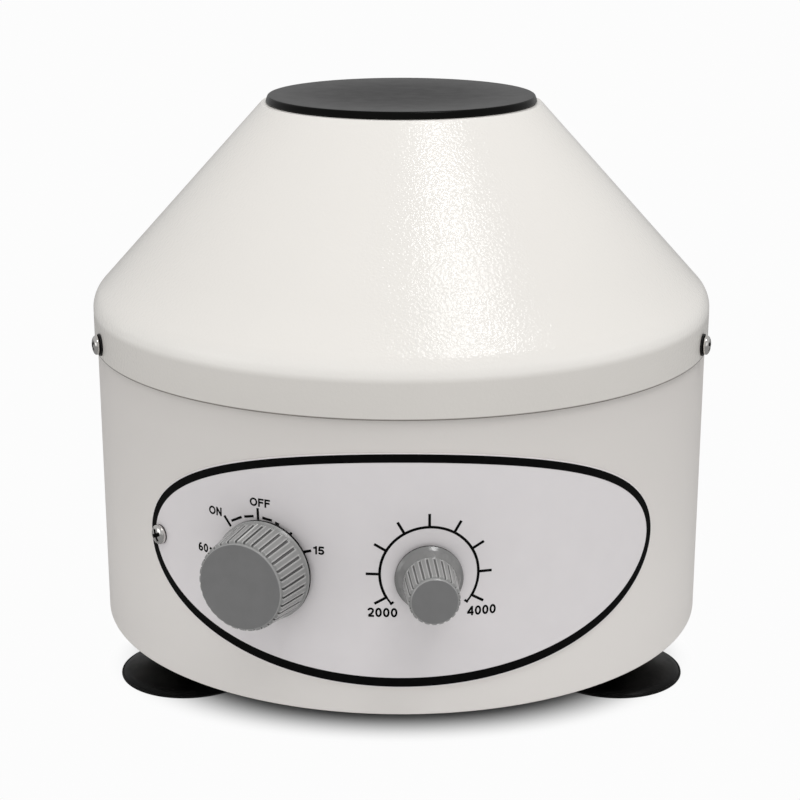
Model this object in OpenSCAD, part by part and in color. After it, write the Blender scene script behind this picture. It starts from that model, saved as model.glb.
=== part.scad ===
// Benchtop centrifuge: a round drum on suction feet, a conical cover with a lift-off lid,
// an angle rotor with six tube sleeves, a vertical commutator motor, a timer and a speed control.
// Millimetres. Z is up, the bench is at z = 0, the drum's axis is the Z axis and the front is -Y.

/* [Stand] */
// Height of a suction foot below the drum's lower edge
foot_h = 17; // [13:0.5:22]
// Radius of a foot's rim on the bench
foot_rim_r = 30; // [24:0.5:34]
// Width of a foot's flat rim
foot_rim_w = 3.5; // [2:0.5:6]
// Radius of a foot's neck
foot_neck_r = 10.5; // [8:0.5:12]
// Gap between a foot's neck and the drum's turned-in lower edge
foot_inset = 1.3; // [0.8:0.1:5]
// Angle of the two front feet from the front
foot_angle = 60; // [52:1:66]
// Radius of a foot's stud
foot_stud_r = 3; // [2.5:0.5:4]

/* [Drum] */
// Outer radius of the drum
drum_r = 133.8; // [128:0.1:142]
// Height of the drum's wall
drum_h = 135; // [130:1:145]
// Thickness of the drum's sheet
drum_t = 1.2; // [0.8:0.1:2]
// Width of the drum's turned-in lower edge
drum_edge_w = 15; // [12:0.5:18]
// Thickness of the base plate
base_t = 2; // [1.5:0.1:3]
// Gap between the base plate and the drum's wall
base_gap = 0.5; // [0.3:0.1:1]
// Radius of the ring of air holes in the base plate
vent_ring_r = 24; // [20:1:28]
// Radius of an air hole
vent_r = 5; // [3:0.5:6]

/* [Cover] */
// Thickness of the cover's sheet
cover_t = 1; // [0.8:0.1:1.6]
// Gap between the cover's skirt and the drum
cover_gap = 0.2; // [0.1:0.05:0.5]
// Length of the skirt that laps down over the drum
skirt_lap = 12.7; // [11:0.1:16]
// Height of the skirt up to the corner of the cone
skirt_h = 20.9; // [19:0.1:25]
// Radius of the round between skirt and cone
shoulder_r = 12.5; // [8:0.5:19]
// Height of the cone above the skirt
cone_h = 81.8; // [78:0.1:88]
// Radius of the cone's upper edge
mouth_edge_r = 60.4; // [58:0.1:64]
// Clear radius of the loading mouth
mouth_r = 52; // [48:0.5:54]
// Angle of the two side cover screws from the front
cover_screw_angle = 70; // [64:1:76]

/* [Lid] */
// Width of the cone's upper edge that shows around the lid
lid_in = 1.9; // [1.2:0.1:3]
// Height of the lid above its seat
lid_h = 3; // [2.5:0.1:5]
// Gap under the lid's rim
lid_gap = 0.2; // [0.1:0.05:0.4]
// Bevel of the lid's side
lid_bevel = 1; // [0.5:0.1:1.5]
// Width of the lid's flat border
lid_border_w = 2; // [1:0.5:5]
// Depth of the dished top
lid_dish = 0.8; // [0.3:0.1:1.2]
// Length of the ring that locates the lid in the mouth
spigot_h = 7; // [5:0.5:8]
// Width of that ring
spigot_w = 3; // [2:0.5:4]
// Gap between that ring and the mouth
spigot_gap = 1; // [0.5:0.1:2]

/* [Rotor] */
// Tilt of a tube sleeve from the vertical
tilt = 40; // [36:0.5:43]
// Drop from the cover's upper edge to the middle of a sleeve's mouth
rotor_drop = 24; // [23:0.1:29]
// Radius of the circle through the middles of the mouths
sleeve_ring_r = 40; // [38:0.5:42]
// Length of a sleeve
sleeve_l = 92; // [86:0.5:94]
// Outer radius of a sleeve
sleeve_r = 12.5; // [11.5:0.1:13]
// Wall of a sleeve
sleeve_t = 1.5; // [1:0.1:2]
// Radius of a sleeve's flange
sleeve_flange_r = 15; // [14.2:0.1:16]
// Thickness of a sleeve's flange
sleeve_flange_t = 2; // [1.5:0.1:3]
// Gap around a sleeve in the rotor head
sleeve_gap = 0.3; // [0.1:0.05:0.4]
// Thickness of the rotor head's dish
dish_t = 5; // [4:0.1:7]
// Width of the dish outside the sleeve flanges
dish_margin = 3; // [2:0.5:5]
// Radius of the rotor's hub
hub_r = 13; // [11:0.5:15]
// Length of the rotor's hub
hub_l = 40; // [34:0.5:46]
// Height of the rotor nut
rotor_nut_h = 9; // [7:0.5:10]
// Radius of the rotor nut over its corners
rotor_nut_r = 7.5; // [7:0.1:8]

/* [Bowl] */
// Thickness of the bowl's sheet
bowl_t = 1; // [0.8:0.1:1.5]
// Room under the sleeves
floor_clear = 8.5; // [6:0.5:10]
// Place of the bowl's wall between the sleeves' reach (0) and the drum's wall (1)
bowl_share = 0.35; // [0.3:0.01:0.45]
// Place of the drum's turned-in upper edge between the same two
rim_share = 0.48; // [0.46:0.01:0.55]
// Round between the bowl's floor and wall
bowl_round_r = 8; // [4:0.5:10]
// Radius of the hole in the bowl's floor
bowl_hole_r = 19; // [17:0.5:20]
// Height of the soft ring between motor and bowl
gasket_h = 6; // [4:0.5:8]
// Width of the soft ring
gasket_w = 6.5; // [4:0.5:9]

/* [Motor] */
// Outer radius of the motor
motor_r = 42; // [40.5:0.5:44]
// Wall of the end bells
bell_t = 3; // [2.5:0.1:3.4]
// Height of the lower end bell
bell_low_h = 34; // [33:0.5:38]
// Height of the upper end bell
bell_up_h = 24; // [23.5:0.5:28]
// Gap between the motor shaft's lower end and the base plate
shaft_clear = 7.3; // [5:0.1:9]
// Radius of the motor shaft
shaft_r = 5; // [4:0.1:5.5]
// Outer radius of a bearing
bearing_r = 15; // [13:0.5:15.5]
// Width of a bearing
bearing_w = 9; // [8:0.5:10]
// Gap between a motor bolt and the end bells' wall
bolt_clear = 0.8; // [0.4:0.1:1]
// Wall between a motor bolt and the room for the field coils
yoke_web = 1.7; // [1.5:0.1:2.5]
// Air gap between armature and stator
air_gap = 0.5; // [0.4:0.1:1]
// Radial thickness of a stator pole shoe
shoe_t = 3; // [2:0.5:3.5]
// Radial room for a field coil
coil_room = 5; // [4:0.5:6]
// Width of a stator pole's neck
neck_w = 20; // [16:0.5:22]
// Reach of the field coils beyond the core
coil_over = 8.6; // [6:0.2:9]
// Radius of the commutator
commutator_r = 13; // [11:0.5:14]
// Length of the commutator
commutator_l = 8; // [6:0.5:8]
// Width of a carbon brush
brush_w = 6; // [5:0.5:6.5]
// Wall of a brush holder
brush_wall = 1.3; // [1:0.1:1.4]
// Radius of the cooling fan
fan_r = 30; // [26:0.5:31]
// Height of the cooling fan
fan_h = 9; // [7:0.5:10]
// Radius of the circle through the motor mountings
mount_ring_r = 56; // [54:0.5:58]
// Height of a rubber damper
damper_h = 10; // [8:0.5:12]
// Radius of a rubber damper
damper_r = 9; // [8:0.5:10]
// Radius of a mounting post
post_r = 7; // [6:0.5:8]

/* [Panel and controls] */
// Length of the oval panel, along the drum
panel_l = 233; // [225:1:240]
// Height of the oval panel
panel_h = 97; // [92:1:100]
// Thickness of the panel
panel_t = 0.8; // [0.5:0.1:1.5]
// Height of the panel's middle above the drum's lower edge
panel_up = 60.9; // [59:0.1:62]
// Distance of the panel screw from the panel's end, along the drum
panel_screw_in = 6.3; // [5.5:0.1:10]
// Angle of the timer from the front, to the left
timer_angle = 23.4; // [22:0.1:26]
// Height of the timer's axis above the drum's lower edge
timer_up = 58.2; // [54:0.1:62]
// Radius of the timer knob's rear collar
timer_knob_r = 20.5; // [19:0.1:22]
// Radius of the timer knob at its front
timer_front_r = 18.4; // [17:0.1:19]
// Length of the timer knob
timer_knob_l = 20.2; // [19:0.1:26]
// Number of ribs around the timer knob
timer_ribs = 36; // [24:1:48]
// Radius of the timer's spindle
timer_spindle_r = 3; // [2.5:0.1:3.2]
// Width and height of the timer body
timer_w = 46; // [40:1:50]
// Depth of the timer body
timer_d = 26; // [22:1:32]
// Angle of the speed control from the front, to the right
speed_angle = 4.5; // [3:0.1:8]
// Height of the speed control's axis above the drum's lower edge
speed_up = 59; // [54:0.1:62]
// Radius of the speed knob's skirt
speed_skirt_r = 13.4; // [12.5:0.1:15]
// Radius of the speed knob's grip
speed_grip_r = 10.4; // [10:0.1:11.5]
// Length of the speed knob
speed_knob_l = 24.4; // [20:0.1:26]
// Number of ribs around the speed knob
speed_ribs = 22; // [16:1:30]
// Radius of the speed control's spindle
speed_spindle_r = 3; // [2.5:0.1:3.2]
// Radius of the potentiometer body
pot_r = 12; // [10:0.5:14]
// Depth of the potentiometer body
pot_d = 11; // [8:0.5:14]
// Gap between a knob and the panel
knob_gap = 1; // [0.6:0.1:1.5]
// Radius of a control's threaded neck
neck_r = 5; // [4.5:0.1:5.5]

/* [Electrics] */
// Length of the control board along X
board_x = 46; // [42:1:48]
// Length of the control board along Y
board_y = 70; // [64:1:72]
// Thickness of the control board
board_t = 1.6; // [1:0.1:2]
// Height of the board's spacers
spacer_h = 12; // [9:0.5:16]
// Radius of a spacer
spacer_r = 3.5; // [3:0.1:4]
// Height of the heat sink
sink_h = 30; // [24:1:36]
// Width of the heat sink
sink_w = 22; // [18:1:24]
// Depth of the heat sink
sink_d = 14; // [12:1:16]
// Height of the cable gland above the drum's lower edge
gland_up = 30; // [26:1:40]
// Radius of the gland's bore for the cord
gland_bore_r = 4; // [3:0.1:4.5]
// Radius of the gland's threaded neck
gland_neck_r = 8; // [7:0.1:9]
// Reach of the gland behind the drum
gland_l = 25; // [20:0.5:27]

/* [Screws] */
// Radius of the shank of the visible screws
screw_r = 2; // [1.8:0.1:2.2]
// Radius of the head of the visible screws
screw_head_r = 4.1; // [3.6:0.1:4.3]
// Height of the head of the visible screws
screw_head_h = 2.8; // [2.2:0.1:3.2]
// Thickness of a cover screw's washer
washer_t = 0.8; // [0.5:0.1:1.2]
// Radius of a cover screw's washer
washer_r = 4.7; // [4.4:0.1:5.2]
// Radius of the shank of the small screws
small_screw_r = 1.5; // [1.3:0.1:1.8]
// Radius of the shank of the motor screws
motor_screw_r = 2.5; // [2:0.1:2.8]
// Gap around a shank, a spindle's seat or an inserted piece
fit_gap = 0.05; // [0.03:0.01:0.1]
// Running gap around a turning spindle or shaft
run_gap = 0.05; // [0.03:0.01:0.1]

/* [Hidden] */
$fn = 96;

// Heights from the bench upwards
z_drum0 = foot_h;
z_base0 = z_drum0 + drum_t;
z_base1 = z_base0 + base_t;
z_drum1 = z_drum0 + drum_h;
z_skirt0 = z_drum1 - skirt_lap;
z_corner = z_skirt0 + skirt_h;
z_mouth = z_corner + cone_h;

// Cover
cover_r = drum_r + cover_gap + cover_t;
cone_a = atan2(cover_r - mouth_edge_r, cone_h);
shoulder_x = cover_r - shoulder_r;
shoulder_z = z_corner - shoulder_r * tan(cone_a / 2);
shoulder_n = 12;
cone_in_r = shoulder_x + (shoulder_r - cover_t) * cos(cone_a);
cone_in_z = shoulder_z + (shoulder_r - cover_t) * sin(cone_a);
z_seat_low = z_mouth - cover_t;
seat_low_r = cone_in_r - (z_seat_low - cone_in_z) * tan(cone_a);
z_cover_screw = z_skirt0 + skirt_lap / 2;
cover_screw_az = [-cover_screw_angle, cover_screw_angle, 180];

// Lid
lid_r = mouth_edge_r - lid_in;
z_lid0 = z_mouth + lid_gap;
z_lid1 = z_lid0 + lid_h;
spigot_r = mouth_r - spigot_gap;

// Rotor, placed from the mouth downwards
sleeve_n = 6;
sleeve_a0 = 30;
z_sleeve = z_mouth - rotor_drop;
sleeve_out_r = sleeve_ring_r + sleeve_l * sin(tilt) + sleeve_r * cos(tilt);
z_sleeve_low = z_sleeve - sleeve_l * cos(tilt) - sleeve_r * sin(tilt);
seat_pt_r = sleeve_ring_r + sleeve_flange_t * sin(tilt);
seat_pt_z = z_sleeve - sleeve_flange_t * cos(tilt);
dish_drop = dish_t / cos(tilt);
dish_rim_r = sleeve_ring_r + sleeve_flange_r + dish_margin;
z_hub1 = dish_top(hub_r);
z_hub0 = z_hub1 - hub_l;
spot_gap = 0.5;
collar_r = shaft_r + 3;
collar_h = 4;
stud_r = shaft_r - 1;

// Bowl
z_floor = z_sleeve_low - floor_clear;
bowl_lip_r = drum_r - drum_t;
bowl_r = sleeve_out_r + (bowl_lip_r - sleeve_out_r) * bowl_share;
rim_in_r = bowl_t + sleeve_out_r + (bowl_lip_r - sleeve_out_r) * rim_share;
bowl_screw_ring_r = (rim_in_r + bowl_lip_r) / 2;
bowl_screw_n = 6;
bowl_screw_l = drum_t + bowl_t + 3;
small_head_r = small_screw_r * 1.9;
small_head_h = small_screw_r * 1.3;

// Motor, between the base plate and the bowl; its cores take up what is left
fan_gap = 2.5;
z_shaft0 = z_base1 + shaft_clear;
z_fan0 = z_shaft0 + 1;
z_fan1 = z_fan0 + fan_h;
z_motor0 = z_fan1 + fan_gap;
z_motor1 = z_floor - bowl_t - gasket_h;
z_core0 = z_motor0 + bell_low_h;
z_core1 = z_motor1 - bell_up_h;
core_h = z_core1 - z_core0;
bell_floor_t = 5;
bell_top_t = 4;
bell_hole_r = shaft_r + 4;
boss_r = bearing_r + 3;
z_bearing_low = z_motor0 + bell_floor_t;
z_bearing_up = z_motor1 - bell_floor_t - bearing_w;
z_commutator0 = z_bearing_low + bearing_w + 1.5;
z_commutator1 = z_commutator0 + commutator_l;
z_brush = z_commutator0 + commutator_l / 2;
bolt_r = 2;
bolt_az = [45, 135, 225, 315];
bolt_ring_r = motor_r - bell_t - bolt_clear - bolt_r;
yoke_r = bolt_ring_r - bolt_r - yoke_web;
shoe_r = yoke_r - coil_room;
stator_r = shoe_r - shoe_t;
armature_r = stator_r - air_gap;
coil_gap = 0.4;
coil_half_w = neck_w / 2 + coil_gap + coil_room * 1.7;
brush_gap = 0.3;
brush_out = brush_w / 2 + 0.2 + brush_wall;
holder_in_r = commutator_r + 2;
holder_out_r = motor_r + 2;
brush_l = 13;
cap_l = 3;
end_turn_in_r = shaft_r + 4;
end_turn_r = armature_r - 2;
slot_n = 12;
slot_w = 3.2;
slot_d = 10;
slot_r = armature_r - slot_d;
z_wind0 = z_commutator1 + 1;
z_wind1 = z_bearing_up - 2;
lug_t = 6;
z_lug0 = z_motor0 + lug_t;
z_post1 = z_lug0 - damper_h;
mount_az = [30, 150, 270];
mount_hole_r = motor_screw_r + fit_gap;

// Feet
foot_ring_r = drum_r - drum_edge_w - foot_inset - foot_neck_r;
foot_az = [-foot_angle, foot_angle, 180];
foot_lip_h = 1.8;
foot_bell_z = foot_h * 0.64;
foot_hollow_z = foot_h * 0.36;
foot_stud_z0 = foot_h * 0.5;
foot_nut_h = foot_stud_r * 1.6;
foot_nut_r = foot_stud_r * 1.9;

// Base screws
base_screw_n = 6;
base_screw_ring_r = drum_r - drum_edge_w / 2 - drum_t;
base_screw_l = drum_t + base_t + 3;

// Panel and controls
panel_gap = 0.05;
panel_in_r = drum_r + panel_gap;
panel_r = panel_in_r + panel_t;
z_panel = z_drum0 + panel_up;
panel_n = 120;
panel_screw_az = -(panel_l / 2 - panel_screw_in) / panel_r * 180 / PI;
panel_screw_l = panel_t + drum_t + 5;
z_timer = z_drum0 + timer_up;
z_speed = z_drum0 + speed_up;
timer_face_r = seat_in(drum_r - drum_t, timer_w / 2) - 0.1;
pot_face_r = seat_in(drum_r - drum_t, pot_r) - 0.1;
nut_h = 3;
nut_r = neck_r + 3.5;
nut_gap = 0.05;
neck_end_r = panel_r + nut_gap + nut_h + 1;
knob_r0 = panel_r + knob_gap;
timer_face_out_r = knob_r0 + timer_knob_l;
speed_face_out_r = knob_r0 + speed_knob_l;
knob_cave_r = nut_r + 1.2;
knob_cave_d = nut_h + 3;
spindle_out = 12;

// Electrics
board_x0 = mount_ring_r + damper_r + 1;
board_y0 = -board_y / 2;
board_mid_x = board_x0 + board_x / 2;
z_board0 = z_base1 + spacer_h;
z_board1 = z_board0 + board_t;
spacer_in = 5;
spacer_pin_r = 1.6;
z_gland = z_drum0 + gland_up;
gland_hex_r = gland_neck_r * 1.4;
gland_hex_l = 7;
gland_nut_h = 5;
gland_nut_r = gland_neck_r * 1.35;
gland_in_r = seat_in(drum_r - drum_t, gland_nut_r) - gland_nut_h - 3;
lead_r = 1.4;
lead_sides = 8;
lead_steps = 6;
lead_gap = 0.3;
block_l = 22;
block_w = 12;
block_x = board_mid_x - block_l / 2;
block_y = board_y0 + board_y - block_w - 6;
lead_way_r = (motor_r + drum_r) / 2;
z_way = z_timer + 2;
timer_back_r = timer_face_r - timer_d - lead_gap;
timer_back = [-sin(timer_angle) * timer_back_r, -cos(timer_angle) * timer_back_r, z_timer];
timer_side = [cos(timer_angle), -sin(timer_angle), 0];
timer_in = [sin(timer_angle), cos(timer_angle), 0];
pot_back_r = pot_face_r - pot_d - lead_gap;
pot_back = [sin(speed_angle) * pot_back_r, -cos(speed_angle) * pot_back_r, z_speed];
cap_end_r = motor_r + 2 + 3 + lead_gap;

// Height of the dish's upper face at a radius
function dish_top(r) = seat_pt_z + (r - seat_pt_r) * tan(tilt);
// Distance from the axis at which a flat face of half width e meets a hollow cylinder of radius r
function seat_in(r, e) = sqrt(r * r - e * e);
// Points on an arc in the r-z plane
function arc(x, z, r, a0, a1, n) =
    [for (i = [0:n]) let (a = a0 + (a1 - a0) * i / n) [x + r * cos(a), z + r * sin(a)]];
// A point on a smooth line through p, between p[i] and p[i + 1]
function spline(p, i, t) =
    let (
        a = i > 0 ? p[i - 1] : 2 * p[0] - p[1],
        b = p[i],
        c = p[i + 1],
        d = i + 2 < len(p) ? p[i + 2] : 2 * c - b
    )
    (2 * b + (c - a) * t + (2 * a - 5 * b + 4 * c - d) * t * t + (3 * b - a - 3 * c + d) * t * t * t) / 2;
// The smooth line's points, n to each stretch
function route(p, n) =
    concat([for (i = [0:len(p) - 2]) for (k = [0:n - 1]) spline(p, i, k / n)], [p[len(p) - 1]]);
// A point on the leads' way between motor and drum, at an angle from +X
function way(a, z) = [lead_way_r * cos(a), lead_way_r * sin(a), z];
// A vector's direction
function unit(v) = v / norm(v);
// The ring of points around a lead at the point q[i]
function lead_ring(q, i) =
    let (
        t = unit(q[min(i + 1, len(q) - 1)] - q[max(i - 1, 0)]),
        u = unit(cross(t, [0.31, 0.17, 0.94])),
        v = cross(t, u)
    )
    [for (j = [0:lead_sides - 1]) let (a = j * 360 / lead_sides) q[i] + lead_r * (cos(a) * u + sin(a) * v)];
// A list in reverse order
function back(p) = [for (i = [len(p) - 1:-1:0]) p[i]];

// Places its children with +Z pointing out of the drum and +Y up
module radial(az, z) {
    translate([0, 0, z]) rotate([90, 0, az]) children();
}

// Places its children at a sleeve's mouth, with +Z pointing out of the mouth
module at_sleeve(i) {
    rotate([0, 0, sleeve_a0 + i * 360 / sleeve_n])
        translate([sleeve_ring_r, 0, z_sleeve])
            rotate([0, -tilt, 0])
                children();
}

// Places its children on a circle at each angle of a list, counted from +X
module on_ring(r, angles, z) {
    for (a = angles) rotate([0, 0, a]) translate([r, 0, z]) children();
}

// Places its children on a circle at each angle of a list, counted from the front
module on_front_ring(r, angles, z) {
    for (a = angles) rotate([0, 0, a]) translate([0, -r, z]) children();
}

// A tube along Z
module tube(r_out, r_in, h) {
    difference() {
        cylinder(r = r_out, h = h);
        translate([0, 0, -1]) cylinder(r = r_in, h = h + 2);
    }
}

// A pan-head screw with a cross recess; its seat is at z = 0 and its shank points down
module pan_screw(head_r, head_h, r, l) {
    slot = head_r * 0.24;
    difference() {
        union() {
            rotate_extrude()
                polygon([
                    [0, 0], [head_r, 0], [head_r, head_h * 0.35], [head_r * 0.93, head_h * 0.66],
                    [head_r * 0.75, head_h * 0.87], [head_r * 0.45, head_h], [0, head_h]
                ]);
            translate([0, 0, -l]) cylinder(r = r, h = l + head_h / 4);
        }
        translate([-slot / 2, -head_r * 0.55, head_h * 0.45]) cube([slot, head_r * 1.1, head_h]);
        translate([-head_r * 0.55, -slot / 2, head_h * 0.45]) cube([head_r * 1.1, slot, head_h]);
    }
}

// A hexagon nut along Z
module hex_nut(r, bore, h) {
    difference() {
        cylinder(r = r, h = h, $fn = 6);
        translate([0, 0, -1]) cylinder(r = bore, h = h + 2);
    }
}

// A lead swept along a smooth line through a list of points
module lead(p) {
    q = route(p, lead_steps);
    m = len(q);
    k = lead_sides;
    polyhedron(
        points = [for (i = [0:m - 1]) each lead_ring(q, i)],
        faces = concat(
            [[for (j = [0:k - 1]) j]],
            [for (i = [0:m - 2]) for (j = [0:k - 1])
                [i * k + j, (i + 1) * k + j, (i + 1) * k + (j + 1) % k]],
            [for (i = [0:m - 2]) for (j = [0:k - 1])
                [i * k + j, (i + 1) * k + (j + 1) % k, i * k + (j + 1) % k]],
            [[for (j = [k - 1:-1:0]) (m - 1) * k + j]]
        )
    );
}

// Drum and stand

module drum_shell() {
    color([0.80, 0.78, 0.77])
        difference() {
            rotate_extrude()
                polygon([
                    [drum_r - drum_edge_w, z_drum0], [drum_r, z_drum0], [drum_r, z_drum1],
                    [rim_in_r, z_drum1], [rim_in_r, z_drum1 - drum_t], [drum_r - drum_t, z_drum1 - drum_t],
                    [drum_r - drum_t, z_base0], [drum_r - drum_edge_w, z_base0]
                ]);
            radial(-timer_angle, z_timer) translate([0, 0, drum_r - 6])
                cylinder(r = neck_r + fit_gap, h = 12);
            radial(speed_angle, z_speed) translate([0, 0, drum_r - 6])
                cylinder(r = neck_r + fit_gap, h = 12);
            radial(panel_screw_az, z_panel) translate([0, 0, drum_r - 6])
                cylinder(r = screw_r + fit_gap, h = 12);
            radial(180, z_gland) translate([0, 0, drum_r - 6]) cylinder(r = gland_neck_r + fit_gap, h = 12);
            for (a = cover_screw_az)
                radial(a, z_cover_screw) translate([0, 0, drum_r - 6])
                    cylinder(r = screw_r + fit_gap, h = 12);
            on_ring(base_screw_ring_r, [for (i = [0:base_screw_n - 1]) i * 360 / base_screw_n], z_drum0 - 1)
                cylinder(r = screw_r + fit_gap, h = drum_t + 2);
            on_ring(bowl_screw_ring_r, [for (i = [0:bowl_screw_n - 1]) i * 360 / bowl_screw_n],
                z_drum1 - drum_t - 1)
                cylinder(r = small_screw_r + fit_gap, h = drum_t + 2);
        }
}

module base_plate() {
    color([0.62, 0.63, 0.64])
        difference() {
            translate([0, 0, z_base0]) cylinder(r = drum_r - drum_t - base_gap, h = base_t);
            on_ring(base_screw_ring_r, [for (i = [0:base_screw_n - 1]) i * 360 / base_screw_n], z_base0 - 1)
                cylinder(r = screw_r + fit_gap, h = base_t + 2);
            on_front_ring(foot_ring_r, foot_az, z_base0 - 1)
                cylinder(r = foot_stud_r + fit_gap, h = base_t + 2);
            on_ring(mount_ring_r, mount_az, z_base0 - 1) cylinder(r = mount_hole_r, h = base_t + 2);
            on_ring(vent_ring_r, [for (i = [0:7]) i * 45], z_base0 - 1)
                cylinder(r = vent_r, h = base_t + 2);
            at_spacers(z_base0 - 1) cylinder(r = spacer_pin_r + fit_gap, h = base_t + 2);
        }
}

module base_screws() {
    color([0.72, 0.73, 0.74])
        on_ring(base_screw_ring_r, [for (i = [0:base_screw_n - 1]) i * 360 / base_screw_n], z_drum0)
            mirror([0, 0, 1]) pan_screw(screw_head_r, screw_head_h, screw_r, base_screw_l);
}

// A suction foot: a flared cup with a hollow below, a neck and a blind hole for its stud
module foot() {
    flare = [for (i = [0:8]) let (t = i / 8)
        [foot_neck_r + (foot_rim_r - 0.5 - foot_neck_r) * pow(1 - t, 2),
            foot_lip_h + (foot_bell_z - foot_lip_h) * t]];
    hollow = [for (i = [0:8]) let (t = i / 8)
        [(foot_rim_r - foot_rim_w) * (1 - t), foot_hollow_z * (1 - pow(1 - t, 1.8))]];
    difference() {
        rotate_extrude()
            polygon(concat(
                [[foot_rim_r - foot_rim_w, 0], [foot_rim_r, 0], [foot_rim_r, foot_lip_h * 0.6]],
                flare,
                [[foot_neck_r, z_base0], [0, z_base0]],
                [for (i = [8:-1:1]) hollow[i]]
            ));
        translate([0, 0, foot_stud_z0]) cylinder(r = foot_stud_r + fit_gap, h = z_base0);
    }
}

module foot_left() {
    color([0.06, 0.06, 0.06]) on_front_ring(foot_ring_r, [foot_az[0]], 0) foot();
}

module foot_right() {
    color([0.06, 0.06, 0.06]) on_front_ring(foot_ring_r, [foot_az[1]], 0) foot();
}

module foot_rear() {
    color([0.06, 0.06, 0.06]) on_front_ring(foot_ring_r, [foot_az[2]], 0) foot();
}

module foot_studs() {
    color([0.70, 0.70, 0.71])
        on_front_ring(foot_ring_r, foot_az, foot_stud_z0)
            cylinder(r = foot_stud_r, h = z_base1 - foot_stud_z0 + foot_nut_h + 2);
}

module foot_nuts() {
    color([0.70, 0.70, 0.71])
        on_front_ring(foot_ring_r, foot_az, z_base1) hex_nut(foot_nut_r, foot_stud_r + fit_gap, foot_nut_h);
}

// Cover and lid

module cone_cover() {
    color([0.94, 0.93, 0.91])
        difference() {
            rotate_extrude()
                polygon(concat(
                    [[cover_r, z_skirt0]],
                    arc(shoulder_x, shoulder_z, shoulder_r, 0, cone_a, shoulder_n),
                    [[mouth_edge_r, z_mouth], [mouth_r, z_mouth],
                    [mouth_r, z_seat_low], [seat_low_r, z_seat_low]],
                    back(arc(shoulder_x, shoulder_z, shoulder_r - cover_t, 0, cone_a, shoulder_n)),
                    [[cover_r - cover_t, z_skirt0]]
                ));
            for (a = cover_screw_az)
                radial(a, z_cover_screw) translate([0, 0, drum_r - 6])
                    cylinder(r = screw_r + fit_gap, h = 12);
        }
}

module cover_screws() {
    color([0.80, 0.80, 0.80])
        for (a = cover_screw_az)
            radial(a, z_cover_screw) translate([0, 0, cover_r + washer_t])
                pan_screw(screw_head_r, screw_head_h, screw_r, washer_t + cover_t + cover_gap + drum_t + 4);
}

module cover_washers() {
    color([0.12, 0.12, 0.12])
        for (a = cover_screw_az)
            radial(a, z_cover_screw) translate([0, 0, cover_r]) tube(washer_r, screw_r + fit_gap, washer_t);
}

module lid() {
    color([0.10, 0.10, 0.10])
        rotate_extrude()
            polygon([
                [0, z_lid0], [spigot_r - spigot_w, z_lid0], [spigot_r - spigot_w, z_lid0 - spigot_h],
                [spigot_r, z_lid0 - spigot_h], [spigot_r, z_lid0], [lid_r, z_lid0],
                [lid_r - lid_bevel, z_lid1],
                [lid_r - lid_bevel - lid_border_w, z_lid1], [0, z_lid1 - lid_dish]
            ]);
}

// Chamber

module chamber_bowl() {
    color([0.72, 0.73, 0.74])
        difference() {
            rotate_extrude()
                polygon(concat(
                    [[bowl_hole_r, z_floor], [bowl_hole_r, z_floor - bowl_t]],
                    arc(bowl_r - bowl_round_r, z_floor + bowl_round_r, bowl_round_r + bowl_t, -90, 0, 8),
                    [
                        [bowl_r + bowl_t, z_drum1], [bowl_lip_r, z_drum1], [bowl_lip_r, z_drum1 + bowl_t],
                        [bowl_r, z_drum1 + bowl_t]
                    ],
                    back(arc(bowl_r - bowl_round_r, z_floor + bowl_round_r, bowl_round_r, -90, 0, 8))
                ));
            on_ring(bowl_screw_ring_r, [for (i = [0:bowl_screw_n - 1]) i * 360 / bowl_screw_n], z_drum1 - 1)
                cylinder(r = small_screw_r + fit_gap, h = bowl_t + 2);
        }
}

module bowl_screws() {
    color([0.75, 0.75, 0.76])
        on_ring(bowl_screw_ring_r, [for (i = [0:bowl_screw_n - 1]) i * 360 / bowl_screw_n],
            z_drum1 + bowl_t)
            pan_screw(small_head_r, small_head_h, small_screw_r, bowl_screw_l);
}

module bowl_gasket() {
    color([0.15, 0.15, 0.15])
        translate([0, 0, z_motor1]) tube(bowl_hole_r + gasket_w, bowl_hole_r, gasket_h);
}

// Panel and controls

// The panel's outline: an ellipse laid around the drum, as it shows from the front
module panel_outline() {
    polygon([for (i = [0:panel_n - 1])
        [panel_r * sin(panel_l / 2 * cos(i * 360 / panel_n) / panel_r * 180 / PI),
            panel_h / 2 * sin(i * 360 / panel_n)]]);
}

module front_panel() {
    color([0.78, 0.76, 0.76])
        difference() {
            intersection() {
                translate([0, 0, z_panel - panel_h]) tube(panel_r, panel_in_r, 2 * panel_h);
                translate([0, 0, z_panel]) rotate([90, 0, 0])
                    linear_extrude(height = panel_r + 10) panel_outline();
            }
            radial(-timer_angle, z_timer) translate([0, 0, drum_r - 6])
                cylinder(r = neck_r + fit_gap, h = 12);
            radial(speed_angle, z_speed) translate([0, 0, drum_r - 6])
                cylinder(r = neck_r + fit_gap, h = 12);
            radial(panel_screw_az, z_panel) translate([0, 0, drum_r - 6])
                cylinder(r = screw_r + fit_gap, h = 12);
        }
}

module panel_screw() {
    color([0.80, 0.80, 0.80])
        radial(panel_screw_az, z_panel) translate([0, 0, panel_r])
            pan_screw(screw_head_r, screw_head_h, screw_r, panel_screw_l);
}

module timer_body() {
    color([0.86, 0.85, 0.80])
        radial(-timer_angle, z_timer)
            difference() {
                union() {
                    translate([-timer_w / 2, -timer_w / 2, timer_face_r - timer_d])
                        cube([timer_w, timer_w, timer_d]);
                    translate([0, 0, timer_face_r - 1])
                        cylinder(r = neck_r, h = neck_end_r - timer_face_r + 1);
                }
                translate([0, 0, timer_face_r - spindle_out])
                    cylinder(r = timer_spindle_r + run_gap, h = neck_end_r - timer_face_r + spindle_out + 1);
            }
}

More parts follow.
